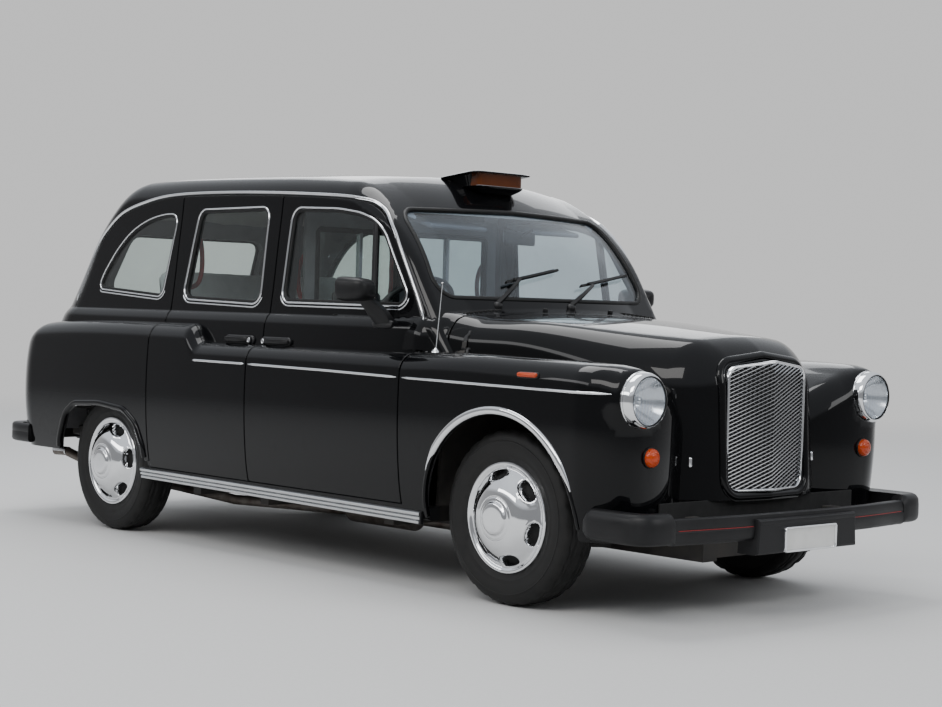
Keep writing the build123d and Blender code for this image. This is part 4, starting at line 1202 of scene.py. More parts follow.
def ring_trim(outline, off, prof, on=on_side, lift=0.0, step=.007, **kw):
    """A strip all round an outline, off from it, on the surface."""
    o = resample(offset2(resample(outline, .003), off), step)
    P, N = on(o, **kw)
    return sweep(P + N * lift, prof, N, closed=True)


def low_trim(outline, off, rise, prof):
    """The strip under a window, with its ends turned up."""
    o = offset2(resample(outline, .003), off)
    o = resample(o, .004)
    zmin = o[:, 1].min()
    # the stretch that stays near the bottom edge
    base = np.interp(o[:, 0], [o[:, 0].min(), o[:, 0].max()], [o[o[:, 0].argmin(), 1], o[o[:, 0].argmax(), 1]])
    low = o[:, 1] < zmin + rise
    k = np.flatnonzero(~low)
    o = np.roll(o, -k[0], 0)
    low = np.roll(low, -k[0])
    seg = o[low]
    if len(seg) < 8:
        return None
    P, N = on_side(seg)
    s = np.minimum(1, np.minimum(np.arange(len(seg)), np.arange(len(seg))[::-1]) / 5 + .15)
    return sweep(P, prof, N, scale=s)


BR = dome(.0092, .0052)
BR2 = dome(.0074, .0042)
RB = dome(.014, .0035, sink=.012)
for nm, wn, body in (("front_door", WIN_FRONT, "front_door_SIDE"), ("rear_door", WIN_REAR, "rear_door_SIDE")):
    it = []
    P, F = ring_trim(wn, .0035, BR)
    it.append((P, F, CHROME))
    P, F = ring_trim(wn, -.0075, RB, lift=-.006)
    it.append((P, F, RUBBER))
    q = low_trim(wn, .0185, .052, BR2)
    if q:
        it.append((*q, CHROME))
    sided(nm + "_window_trim", it, body)
P, F = ring_trim(WIN_QTR, .003, BR2)
it = [(P, F, CHROME)]
P, F = ring_trim(WIN_QTR, -.006, RB, lift=-.005)
it.append((P, F, RUBBER))
q = low_trim(WIN_QTR, .017, .045, BR2)
it.append((*q, CHROME))
sided("quarter_window_trim", it, "root")

g = Group()
P, F = ring_trim(WIN_SCREEN, .002, dome(.020, .006, 9, .010), on=on_front)
g.add(P, F, RUBBER)
P, F = ring_trim(WIN_BACK, .003, dome(.024, .007, 9, .010), on=on_front, x0=-1.35, sg=-1.0)
g.add(P, F, RUBBER)
P, F = ring_trim(WIN_BACK, .006, dome(.006, .0035, 7, .0), on=on_front, lift=.009, x0=-1.35, sg=-1.0)
g.add(P, F, CHROME)
g.make("screen_seals", "root")

# drip rail: a bright gutter from the scuttle over the doors to the rear quarter
rail = resample(RAIL_LINE, .012, closed=False)
P, N = on_side(rail)
k = np.arange(len(P))
sc_ = np.minimum(1, np.minimum(k, k[::-1]) / 4 + .35)
items = [(*sweep(P, [(-.0065, -.004), (.0065, -.004), (.0065, .005), (.0055, .0088), (.0025, .0105), (-.001, .0095), (-.003, .0065), (-.0065, .0055)], N, scale=sc_), CHROME),
         (*sweep(P - N * .001 + np.array([0, 0, -.0115]), dome(.009, .004), N, scale=sc_), RUBBER)]
sided("drip_rail", items, "root")

def along(f, pts, n=60, y0=.30):
    pts = np.array(pts, float)
    d = np.r_[0, np.cumsum(np.linalg.norm(np.diff(pts, axis=0), axis=1))]
    t = np.linspace(0, d[-1], n)
    return on_side(np.stack([np.interp(t, d, pts[:, 0]), np.interp(t, d, pts[:, 1])], 1), f, y0)


# side strips along the doors and the wing, each on the panel that carries it
STR = dome(.0115, .0060)
ends = lambda n: np.minimum(1, np.minimum(np.arange(n), np.arange(n)[::-1]) / 4 + .2)


def strip(pts, f=f_side, n=90):
    P, N = along(f, pts, n)
    return (*sweep(P, STR, N, scale=ends(n)), CHROME)


sided("front_door_strip", [strip([(.868, .8535), (.40, .861), (-.148, .8655)])], "front_door_SIDE")
sided("rear_door_strip", [strip([(-.176, .8660), (-.340, .8662), (-.577, .8672)])], "rear_door_SIDE")
sided("front_wing_strip", [strip([(.900, .8535), (1.40, .8475), (1.80, .8440), (2.000, .8425)], f_wing)], "root")

# ribbed bright sill trims
n = 220
xs = np.linspace(-1.022, 1.000, n)
zt = np.interp(xs, [-1.02, .987], [.333, .318])
P, N = on_side(np.stack([xs, zt - .022], 1), f_side)
prof = [(-.028, -.006), (-.028, .004), (-.026, .008)]
for i in range(3):
    a = -.0255 + i * .0175
    prof += [(a, .0115), (a + .0030, .0150), (a + .0105, .0150), (a + .0132, .0115)] + ([(a + .0138, .0045), (a + .0168, .0045)] if i < 2 else [])
prof += [(.025, .008), (.026, .004), (.026, -.006)]
items = [(*sweep(P, prof, N), STEEL), (*boxy(.992, 1.006, float(P[-1, 1]) - .004, float(P[-1, 1]) + .014, .270, .322, .003), PLASTIC)]
sided("sill_trim", items, "root", sharp=35)

# bright trim of the front wheel arch
a = np.radians(np.linspace(21, 157, 150))
cx_, cz_, r_ = ARCH_F
pts = np.stack([cx_ + (r_ + .012) * np.cos(a), cz_ + (r_ + .012) * np.sin(a)], 1)
P, N = on_side(pts, f_wing)
items = [(*sweep(P, [(-.016, -.004), (.016, -.004), (.016, .003), (.012, .0075), (.004, .0095), (-.006, .0095), (-.013, .006), (-.016, .001)], N, scale=np.minimum(1, .30 + np.minimum(np.arange(len(P)), np.arange(len(P))[::-1]) / 22)), CHROME)]
# the rolled edge of the arch under it, down to the sill and the bumper
a2 = np.radians(np.linspace(-3, 178, 170))
p2 = np.stack([cx_ + (r_ + .006) * np.cos(a2), cz_ + (r_ + .006) * np.sin(a2)], 1)
P2_, N2_ = on_side(p2[p2[:, 1] > .335], f_wing)
items.append((*sweep(P2_, dome(.016, .006), N2_), PAINT))
sided("front_arch_trim", items, "root")
# rolled lip of the rear arch
o = resample(offset2(resample(ARCH_R, .004), .004), .010)
o = np.roll(o, -int(np.argmin(o[:, 1])), 0)
o = o[(o[:, 1] > .38)]
d = np.linalg.norm(np.diff(o, axis=0), axis=1)
if (d > .05).any():
    k = int(np.argmax(d)) + 1
    o = np.roll(o, -k, 0)
P, N = on_side(o, f_side)
back = P[:, 0] < C - .012
items = [(*sweep(P[back], dome(.030, .0125, 11, .010), N[back]), PAINT)]
sided("rear_arch_lip", items, "root")

# bar between the drop glass and the quarter light of the front doors
P, N = on_side(np.stack([np.linspace(.490, .532, 24), np.linspace(1.512, 1.136, 24)], 1))
it = [(*sweep(P, [(-.0125, -.018), (.0125, -.018), (.0125, -.001), (.0095, .002), (-.0095, .002), (-.0125, -.001)], N), PLASTIC),
      (*sweep(P + np.array([.0165, 0, 0]), dome(.007, .0005, 5, .012), N), RUBBER)]
sided("quarter_light_bar", it, "front_door_SIDE")

# ======================================================================
# Wheels and tyres
# ======================================================================
TY, TR = .711, .340


def tyre_mesh():
    """Sidewalls with rings and a tread with grooves and sipes, about the y axis."""
    # half section from bead to tread centre: (radius, distance out)
    sec = [(.205, .060), (.214, .0675), (.226, .0725), (.240, .0790), (.243, .0800), (.246, .0795), (.262, .0850), (.280, .0872), (.292, .0868), (.2935, .0882), (.2965, .0882), (.298, .0860), (.308, .0835), (.316, .0800), (.323, .0755), (.3285, .0710), (.3325, .0655)]
    tread = [(.3352, .0600), (.3366, .0540), (.3372, .0500), (.3374, .0470), (.3374, .0430), (.3380, .0360), (.3384, .0310), (.3386, .0270), (.3387, .0235), (.3390, .0180), (.3394, .0120), (.3397, .0050)]
    half = sec + tread
    full = half + [(r, -y) for r, y in half[::-1]]
    pr = np.array(full)
    n = 108
    k = len(pr)
    a = np.linspace(0, 2 * PI, n, endpoint=False)
    A, R = np.meshgrid(a, pr[:, 0], indexing="ij")
    Y = np.broadcast_to(pr[:, 1], A.shape).copy()
    aY = np.abs(Y)
    # ring grooves
    for c, w in ((.0485, .0032), (.0252, .0030)):
        R = R - .0070 * np.exp(-((aY - c) / w) ** 4)
    # cross grooves at the shoulders and slanted sipes between
    ia = np.arange(n)[:, None]
    sh = (aY > .0515) & (aY < .0775)
    R = R - np.where(sh & (ia % 4 == 0), .0060 * sstep(aY, .0780, .0680), 0)
    mid = aY < .047
    sl = np.round(Y * 170).astype(int)
    R = R - np.where(mid & ((ia + sl) % 4 == 0) & (aY > .006), .0042, 0)
    P = np.stack([R * np.cos(A), Y, R * np.sin(A)], -1).reshape(-1, 3)
    F = grid_faces(n, k, True, False)
    return P, F


def cover_mesh():
    """The pressed wheel cover, outward along +y from the tyre's middle plane."""
    pr = [(.2165, .060), (.2172, .070), (.2150, .0765), (.2080, .0790), (.2000, .0775), (.1950, .0735), (.1925, .0725)]
    rr = np.concatenate([[.2165, .2172, .2160, .2130, .2080, .2030, .1985, .1950], np.linspace(.1925, .1420, 25), [.138, .134], np.linspace(.128, .092, 5), [.0885, .0865, .0845, .0825, .0805, .0785], np.linspace(.075, .068, 3), [.0655, .0640, .0620, .0600, .0575], np.linspace(.050, .006, 4)])
    # more spokes of points where a slot has its edge
    one = np.concatenate([np.linspace(-12, 12, 7)[:-1], np.linspace(12, 18, 9)[:-1], np.linspace(18, 42, 7)[:-1], np.linspace(42, 48, 9)[:-1]])
    a = np.radians(np.concatenate([43 + one + 60 * k for k in range(6)]))
    n = len(a)
    base = Spl([(.0, .1485), (.03, .1482), (.055, .1475), (.0575, .1468), (.0640, .1400), (.068, .1375), (.0785, .1360), (.0825, .1335), (.0865, .1338), (.092, .1330), (.11, .1280), (.13, .1180), (.15, .1030), (.170, .0850), (.182, .0748), (.190, .0712), (.1950, .0728), (.2030, .0780), (.2080, .0790), (.2130, .0778), (.2160, .0740), (.2172, .0690), (.2180, .0600)])
    A, R = np.meshgrid(a, rr, indexing="ij")
    Y = base(R)
    Y[:, 0] = .060
    k6 = PI / 3
    da = (A - math.radians(43) + k6 / 2) % k6 - k6 / 2
    u = R * np.sin(da) / .0480
    w = (R * np.cos(da) - .1658) / .0212
    w = np.where(w > 0, w * 1.05, w)
    q = (np.abs(u) ** 2.6 + np.abs(w) ** 2.4) ** (1 / 2.5)
    lip = .0022 * np.exp(-((q - 1.12) / .10) ** 2)
    cutd = .034 * (1 - sstep(q, .78, 1.0))
    Y = Y + lip - cutd
    P = np.stack([R * np.cos(A), Y, R * np.sin(A)], -1)
    # faces down in each slot's dip get the near-black matte: painted shade in the slots
    deep = q < .90
    P = P.reshape(-1, 3)
    F = grid_faces(n, len(rr), True, False)
    slot_shade_faces = deep.reshape(-1)[F].sum(1) >= 3
    c = len(P)
    P = np.vstack([P, [[0, .1485, 0]]])
    last = np.arange(n) * len(rr) + len(rr) - 1
    cap = [[int(last[i]), int(last[(i + 1) % n]), c] for i in range(n)]
    return P, F, slot_shade_faces, cap


def rim_mesh():
    """The steel rim behind the cover, its well and the drum side."""
    pr = [(.207, .052), (.2125, .058), (.2125, .050), (.196, .040), (.185, .030), (.178, .010), (.178, -.030), (.190, -.052), (.207, -.060), (.2125, -.066), (.209, -.068), (.200, -.062), (.172, -.050), (.168, -.020), (.168, .012), (.150, .022), (.110, .026), (.075, .040), (.045, .042), (.02, .042)]
    return lathe(pr, (0, 0, 0), 64)


TYP = tyre_mesh()
COV = cover_mesh()
RIM = rim_mesh()
# the four wheels: tyre, cover, rim and inner drum
for wname, wx, ws in (("front_left", 1.438, 1), ("front_right", 1.438, -1), ("rear_left", -1.372, 1), ("rear_right", -1.372, -1)):
    body = "wheel_" + wname
    o = np.array([wx, ws * TY, TR])
    s = np.array([1, ws, 1.0])

    turn = 0 if wx > 0 else math.radians(-35)
    ct, st = math.cos(turn), math.sin(turn)

    def put(P, F):
        F = F.tolist() if isinstance(F, np.ndarray) else F
        P = np.asarray(P)
        P = np.stack([P[:, 0] * ct - P[:, 2] * st, P[:, 1], P[:, 0] * st + P[:, 2] * ct], 1)
        return P * s + o, [f[::-1] for f in F] if ws > 0 else F

    g = Group()
    g.add(*put(*TYP), TYRE)
    P, F = lathe([(.2165, .0615), (.2200, .0650), (.2215, .0625), (.2180, .0590)], (0, 0, 0), 120, True)
    g.add(*put(P, F), TYRE)
    g.make("tyre_tread_" + wname, body, ["tyre_" + wname], 32)
    g = Group()
    P, F, slot_shade_faces, cap = COV
    P2, F2 = put(P, F.tolist() + cap)
    slot_shade_all = np.r_[slot_shade_faces, np.zeros(len(cap), bool)]
    g.add(P2, [f for f, d in zip(F2, slot_shade_all) if not d], CHROME)
    # the slots' faces in the near-black matte, painted shade
    g.add(P2, [f for f, d in zip(F2, slot_shade_all) if d], DARK)
    g.add(*put(*RIM), UNDER)
    # the inner drum
    g.add(*put(*lathe([(.020, -.075), (.120, -.075), (.150, -.068), (.155, -.020), (.150, .018), (.02, .020)], (0, 0, 0), 48)), UNDER)
    g.make("wheel_cover_" + wname, body, ["wheel_" + wname], 38)

# ======================================================================
# Fittings outside
# ======================================================================


def basis(d, up=(0, 0, 1)):
    d = unit(np.array(d, float))
    u = np.array(up, float)
    if abs(d @ u) > .95:
        u = np.array([0, 1.0, 0])
    s = unit(np.cross(u, d))
    return np.stack([s, np.cross(d, s), d], 0)


def lathe_at(profile, origin, d, n=64, close=False):
    """profile: (radius, height along d), standing at origin."""
    P, F = lathe(profile, (0, 0, 0), n, close, axis="z")
    return P @ basis(d) + np.array(origin, float), F


def tube(path, r, n=10, cap=True, closed=False):
    """A round bar along a path."""
    path = np.asarray(path, float)
    tg = unit(np.gradient(path, axis=0))
    up = np.array([0, 0, 1.0]) if np.abs(tg[:, 2]).max() < .9 else np.array([.3, 1.0, .1])
    rr = np.broadcast_to(np.asarray(r, float), (len(path),))
    pr = [(math.cos(2 * PI * i / n), math.sin(2 * PI * i / n)) for i in range(n)]
    return sweep(path, pr, np.broadcast_to(up, path.shape), closed, cap, rr)


def smooth_path(pts, n=40):
    pts = np.array(pts, float)
    d = np.r_[0, np.cumsum(np.linalg.norm(np.diff(pts, axis=0), axis=1))]
    t = np.linspace(0, d[-1], n)
    return np.stack([Spl(list(zip(d, pts[:, k])))(t) for k in range(pts.shape[1])], 1)


def shift(P, d):
    return np.asarray(P) + np.array(d, float)


# --- headlamps
it = []
hx, hy, hz = 2.032, .695, .819
it.append((*lathe_at([(.070, -.055), (.096, -.054), (.1045, -.047), (.1055, -.040), (.1040, -.030), (.1048, -.010), (.1055, .010), (.1050, .022), (.1020, .034), (.0970, .042), (.0925, .0450), (.0895, .0435), (.0880, .0400), (.0880, .030)], (hx, hy, hz), (1, 0, 0), 96), CHROME))
it.append((*lathe_at([(.1062, -.004), (.1075, -.001), (.1075, .003), (.1062, .006)], (hx, hy, hz), (1, 0, 0), 96, True), CHROME))
it.append((*lathe_at([(.0935, .0445), (.0900, .0455), (.0880, .0435), (.0870, .0390)], (hx, hy, hz), (1, 0, 0), 96), RUBBER))
r = np.linspace(.0885, .012, 14)
it.append((*lathe_at([(q, .036 - .072 * (1 - (q / .0885) ** 2)) for q in r], (hx, hy, hz), (1, 0, 0), 72), REFLECTOR))
it.append((*lathe_at([(.016, -.030), (.016, -.008), (.013, -.003), (.004, -.001), (.0005, -.001)], (hx, hy, hz), (1, 0, 0), 36), REFLECTOR))
q = np.linspace(.0893, .0008, 12)
it.append((*lathe_at([(v, .0395 + .0165 * (1 - (v / .0893) ** 2)) for v in q], (hx, hy, hz), (1, 0, 0), 96), LENS_CLEAR))
sided("headlamp", it, "root", ["headlamps"])

# --- orange indicators and side repeaters
o = cast(f_wing, np.array([[1.6, .652, .611]]), np.array([1.0, 0, 0]), .7)
nn = normal(f_wing, o)
it = [(*lathe_at([(.030, -.006), (.0385, -.004), (.0395, .001), (.0385, .005), (.0350, .006)], o[0], nn[0], 60), RUBBER),
      (*lathe_at([(.0352, .004), (.0350, .012), (.0325, .0195), (.0270, .0245), (.0200, .0268), (.0190, .0255), (.0180, .0270), (.0100, .0285), (.0010, .0290)], o[0], nn[0], 60), LENS_AMBER)]
sided("front_indicator", it, "root", sharp=60)
o, nn = on_side([(1.618, .8935)], f_wing)
bs = basis(nn[0], (0, 0, 1))


def pill(L, Hh, prof, centre, B, n=10):
    """A rounded oblong built up in layers: prof is (inset, height)."""
    P, F = [], []
    rings = []
    for ins, h in prof:
        r_ = Hh / 2 - ins
        pts = []
        for k in range(2 * n):
            t = -PI / 2 + PI * (k % n) / (n - 1)
            if k < n:
                pts.append((L / 2 - Hh / 2 + r_ * math.cos(t), r_ * math.sin(t), h))
            else:
                pts.append((-L / 2 + Hh / 2 - r_ * math.cos(t), -r_ * math.sin(t), h))
        rings.append(pts)
    m_ = len(rings[0])
    P = np.array(rings).reshape(-1, 3) @ B + centre
    F = grid_faces(len(rings), m_, False, True)
    return P, [f[::-1] for f in F.tolist()] + [[(len(rings) - 1) * m_ + i for i in range(m_)]]


it = [(*pill(.112, .026, [(0, -.004), (0, .003), (.002, .005), (.004, .0055)], o[0], bs), RUBBER),
      (*pill(.104, .019, [(0, .003), (.0005, .009), (.003, .0135), (.006, .015)], o[0], bs), LENS_AMBER)]
sided("side_repeater", it, "root", sharp=50)

# --- grille: bright frame folded along the middle, woven mesh whose second family of wires is a darker copy of the bright metal as painted shade, and a near-black back as painted shade


def gx(y):
    return 2.052 + .046 * (1 - np.abs(y) / .238)


# the second family of wires in a darker copy of the bright metal: painted shade on the wires that face away from the
# light
WIRE_SHADE = make_metal("grille_wire_painted_shade", (.30, .30, .31), (.36, .36, .37), (.3, .4), 10)
o = resample(offset2(resample(GRILLE, .003), -.004), .008)
path = np.stack([gx(o[:, 0]), o[:, 0], o[:, 1]], 1)
g = Group()
g.add(*sweep(path, [(-.0055, -.030), (.0055, -.030), (.0055, .003), (.0042, .0070), (.0018, .0090), (-.0018, .0090), (-.0042, .0070), (-.0055, .003)], np.array([1.0, 0, 0]), closed=True), CHROME)
mesh_in = offset2(resample(GRILLE, .004), -.006)
for fam, wd, dp, xo in ((1, .0050, .0024, .000), (-1, .0026, .0016, -.0060)):
    tan = .37 * fam
    z0 = .30
    while z0 < 1.14:
        yy = np.linspace(-.24, .24, 161)
        zz = z0 + tan * yy
        ins = sd_poly(yy, zz, mesh_in) < 0
        if ins.sum() > 3:
            ya, yb = yy[ins][0], yy[ins][-1]
            ys = [ya, yb]
            if ya < 0 < yb:
                ys = [ya, 0.0, yb]
            ys = np.array(ys)
            pth = np.stack([gx(ys) + xo - .004, ys, z0 + tan * ys], 1)
            if len(ys) == 3:
                pth[1, 0] -= .001
            g.add(*sweep(pth, [(-wd / 2, 0), (wd / 2, 0), (wd / 2 * .6, dp), (-wd / 2 * .6, dp)], np.array([1.0, 0, 0])), CHROME if fam > 0 else WIRE_SHADE)
        z0 += .0152
# the black lip round the opening
o2 = resample(offset2(resample(GRILLE, .003), .020), .008)
Pl = cast(f_bonnet, np.stack([np.full(len(o2), 1.80), o2[:, 0], o2[:, 1]], 1), np.array([1.0, 0, 0]), .4)
Nl = normal(f_bonnet, Pl)
g.add(*sweep(Pl, dome(.034, .0115, 11, .006), Nl, closed=True), PAINT)
# near-black back behind the mesh: painted shade of the space behind the grille
bk = resample(mesh_in, .012)
P = np.vstack([np.stack([gx(bk[:, 0]) - .024, bk[:, 0], bk[:, 1]], 1), [[gx(0.0) - .030, 0, .71]]])
nb = len(bk)
Fb = [[i, (i + 1) % nb, nb] for i in range(nb)]
if np.cross(P[Fb[0][1]] - P[Fb[0][0]], P[nb] - P[Fb[0][0]])[0] < 0:
    Fb = [f[::-1] for f in Fb]
g.add(P, Fb, DARK)
g.make("grille_mesh", "bonnet", ["grille"], 40)

# --- bonnet catches
o = cast(f_bonnet, np.array([[1.997, .1, .581], [1.985, .1, .83]]), np.array([0, 1.0, 0]), .6)
nn = normal(f_bonnet, o)
it = []
for k in range(1):
    B_ = basis(nn[k], (0, 0, 1))
    it.append((*pill(.040, .016, [(0, -.003), (0, .004), (.002, .007), (.005, .008)], o[k], np.stack([B_[1], -B_[0], B_[2]])), CHROME))
sided("bonnet_catch", it, "bonnet", sharp=50)

# --- bumpers
FB = np.array([(1.918, .866), (2.098, .868), (2.160, .861), (2.200, .832), (2.219, .780), (2.222, .705), (2.232, .600), (2.246, .490), (2.257, .360), (2.263, .200), (2.265, 0)])


def plan(pts, n=70):
    p = smooth_path(pts, n)
    q = np.vstack([p, (p[:-1] * [1, -1])[::-1]])
    return q


def bumper(line, z0, prof, name=None):
    path = np.stack([line[:, 0], line[:, 1], np.full(len(line), z0)], 1)
    tg = unit(np.gradient(path, axis=0))
    out = np.cross(tg, [0, 0, 1.0])
    if out[len(out) // 2, 0] * np.sign(line[:, 0].mean()) < 0:
        out = -out
    return path, out


line = plan(FB)
path, out = bumper(line, .358, None)
z_ = lambda pr: [(a, b) for b, a in pr]
# (out, z) pairs round the section
FBP = [(-.050, .044), (-.020, .0495), (-.012, .0485), (-.006, .0440), (.0000, .0100), (-.0012, .0075), (-.0012, .0030), (.0004, .0010), (.0010, -.0020), (.0006, -.0330), (-.004, -.0430), (-.012, -.0480), (-.022, -.0500), (-.050, -.0460)]


def swept_band(path, out, prof, closed=False, cap=True):
    """prof: (outward, up) pairs."""
    up = np.array([0, 0, 1.0])
    P = path[:, None] + out[:, None] * np.array(prof)[None, :, :1] + up * np.array(prof)[None, :, 1:]
    k = len(prof)
    F = grid_faces(len(path), k, closed, True)
    # outward faces: test one
    c = P.mean(axis=1)
    i = F[len(F) // 2]
    Q = P.reshape(-1, 3)
    nrm = np.cross(Q[i[1]] - Q[i[0]], Q[i[2]] - Q[i[0]])
    if nrm @ (Q[i].mean(0) - c[len(path) // 2]) < 0:
        F = F[:, ::-1]
    F = F.tolist()
    if cap and not closed:
        F += [list(range(k)), list(range((len(path) - 1) * k, len(path) * k))[::-1]]
    return Q, F


g = Group()
mid = np.abs(path[:, 1]) < .715
g.add(*swept_band(path[mid], out[mid], FBP), PLASTIC)
for sg in (1, -1):
    e = (path[:, 1] * sg) > .690
    pe, oe = path[e], out[e]
    # moulded end: the same section a little fuller, closed by a rounded end
    k = np.arange(len(pe))
    inner = np.argmin(np.abs(pe[:, 1]))
    d_in = np.linalg.norm(pe - pe[inner], axis=1)
    grow = np.minimum(1, d_in / .012)
    rear = pe[:, 0]
    tail = np.minimum(1, np.maximum(.0, (rear - rear.min()) / .030))
    sc2 = np.sqrt(np.maximum(.30, 1 - (1 - tail) ** 2))
    prof = np.array([(-.064, .062), (-.034, .0710), (-.018, .0700), (-.006, .0640), (.0035, .0500), (.0060, .0240), (.0060, -.0150), (.0030, -.0320), (-.005, -.0405), (-.016, -.0445), (-.030, -.0450), (-.064, -.0400)])
    base_ = np.array([(-.060, .044), (-.030, .0490), (-.014, .0485), (-.006, .0440), (.0000, .0330), (.0010, .0150), (.0010, -.0250), (-.001, -.0400), (-.006, -.0460), (-.016, -.0495), (-.030, -.0500), (-.060, -.0470)])
    up = np.array([0, 0, 1.0])
    PR = base_[None] + (prof - base_)[None] * grow[:, None, None]
    PR = PR * np.stack([np.ones(len(pe)), sc2], 1)[:, None, :]
    PR[..., 0] -= (1 - sc2)[:, None] * .02
    P = pe[:, None] + oe[:, None] * PR[..., :1] + up * PR[..., 1:]
    kk = P.shape[1]
    F = grid_faces(len(pe), kk, False, True)
    Q = P.reshape(-1, 3)
    i = F[len(F) // 2]
    nrm = np.cross(Q[i[1]] - Q[i[0]], Q[i[2]] - Q[i[0]])
    if nrm @ (Q[i].mean(0) - P.mean(axis=1)[len(pe) // 2]) < 0:
        F = F[:, ::-1]
    F = F.tolist() + [list(range(kk)), list(range((len(pe) - 1) * kk, len(pe) * kk))[::-1]]
    g.add(Q, F, PLASTIC)
    # red pinstripe
    s = ((path[:, 1] * sg) < .694) & ((path[:, 1] * sg) > .300)
    g.add(*swept_band(path[s], out[s], [(-.0014, .0064), (.0004, .0062), (.0004, .0042), (-.0014, .0040)]), RED_PLASTIC)
# plate holder: a stepped block, wider at its foot
hold = [(.268, .0), (.300, .0), (.303, -.020), (.309, -.134), (.262, -.136)]
sec = [(2.190, .296), (2.262, .300), (2.272, .297), (2.276, .290)]
rows = []
for x_, ins in ((2.185, .0), (2.266, .0), (2.274, .003), (2.2775, .009)):
    rows.append([(x_, y_, z_2) for y_, z_2 in ((.300 - ins, .389 - ins), (.303 - ins, .330), (.308 - ins, .256 + ins), (-.308 + ins, .256 + ins), (-.303 + ins, .330), (-.300 + ins, .389 - ins))])
P = np.array(rows).reshape(-1, 3)
F = grid_faces(4, 6, False, True).tolist() + [[3 * 6 + i for i in range(6)]]
g.add(P, [f[::-1] for f in F[:-1]] + [F[-1][::-1]], PLASTIC)
g.add(*boxy(2.266, 2.2795, -.294, .294, .366, .384, .004), PLASTIC)
# the blank plate in its bright frame
fr_ = rounded([(-.148, .2620), (.162, .2620), (.162, .3500), (-.148, .3500)], .008, 5)
fr_ = resample(fr_, .006)
g.add(*sweep(np.stack([np.full(len(fr_), 2.279), fr_[:, 0], fr_[:, 1]], 1), [(-.0045, -.002), (.0045, -.002), (.0045, .006), (.0030, .0085), (-.0030, .0085), (-.0045, .006)], np.array([1.0, 0, 0]), closed=True), CHROME)
g.add(*boxy(2.276, 2.2815, -.146, .160, .2640, .3480, .002), PLATE_W)
# brackets to the rails, and behind them a near-black valance: painted shade behind the bumper
for sg in (1, -1):
    g.add(*boxy(2.03, 2.235, sg * .42 - .03, sg * .42 + .03, .325, .385, .006), UNDER)
g.add(*boxy(2.036, 2.046, -.590, .590, .325, .440, .003), DARK)
g.make("front_bumper_moulding", "root", ["front_bumper"], 38)

RBL = np.array([(-2.050, .868), (-2.150, .868), (-2.225, .858), (-2.278, .830), (-2.300, .775), (-2.308, .660), (-2.314, .480), (-2.318, .300), (-2.320, .140), (-2.320, 0)])
line = plan(RBL)
path, out = bumper(line, .432, None)
g = Group()
RBP = [(-.052, .044), (-.016, .0495), (-.006, .0465), (.0010, .0370), (.0012, .0080), (.0000, .0060), (.0000, .0020), (.0012, .0000), (.0012, -.0340), (-.003, -.0430), (-.012, -.0480), (-.052, -.0440)]
g.add(*swept_band(path, out, RBP), PLASTIC)
for sg in (1, -1):
    g.add(*boxy(-2.326, -2.270, sg * .40 - .028, sg * .40 + .028, .376, .500, .012, 4), RUBBER)
    s = ((path[:, 1] * sg) < .70) & ((path[:, 1] * sg) > .44)
    g.add(*swept_band(path[s], out[s], [(-.0014, .0058), (.0008, .0056), (.0008, .0024), (-.0014, .0022)]), RED_PLASTIC)
    g.add(*boxy(-2.29, -2.08, sg * .45 - .03, sg * .45 + .03, .405, .455, .006), UNDER)
g.make("rear_bumper_moulding", "root", ["rear_bumper"], 38)

# --- tail lamps, rear plate with its lamp, boot handle
it = []
zs = [(.598, .662, LENS_WHITE), (.664, .736, LENS_AMBER), (.738, .802, LENS_RED)]


def on_tail(yz):
    return on_front(yz, f_side, -1.6, -1.0)


zz = np.linspace(.590, .810, 24)
P, N = on_tail(np.stack([np.full(24, .690), zz], 1))
for z0, z1, m_ in zs:
    s = (zz >= z0 - .006) & (zz <= z1 + .006)
    cz = np.linspace(z0, z1, 12)
    Pc, Nc = on_tail(np.stack([np.full(12, .690), cz], 1))
    it.append((*sweep(Pc, [(-.034, -.01), (.034, -.01), (.034, .012), (.031, .019), (.022, .0235), (.008, .025), (-.008, .025), (-.022, .0235), (-.031, .019), (-.034, .012)], Nc), m_))
fr_ = resample(rounded([(.649, .590), (.731, .590), (.731, .810), (.649, .810)], .012, 5), .006)
Pc, Nc = on_tail(fr_)
it.append((*sweep(Pc, dome(.012, .015, 9, .006), Nc, closed=True), CHROME))
sided("tail_lamp", it, "root", ["tail_lamps"])

g = Group()
P, N = on_tail([(0.0, .560)])
xb = float(P[0, 0])
tilt = math.atan2(float(N[0, 2]), -float(N[0, 0]))


def tip(P_):
    """Turns a block built about the plate's centre to lie on the boot lid."""
    q = np.asarray(P_) - np.array([xb, 0, .560])
    c_, s_ = math.cos(tilt), math.sin(tilt)
    q = np.stack([q[:, 0] * c_ + q[:, 2] * s_, q[:, 1], -q[:, 0] * s_ + q[:, 2] * c_], 1)
    return q + np.array([xb, 0, .560])


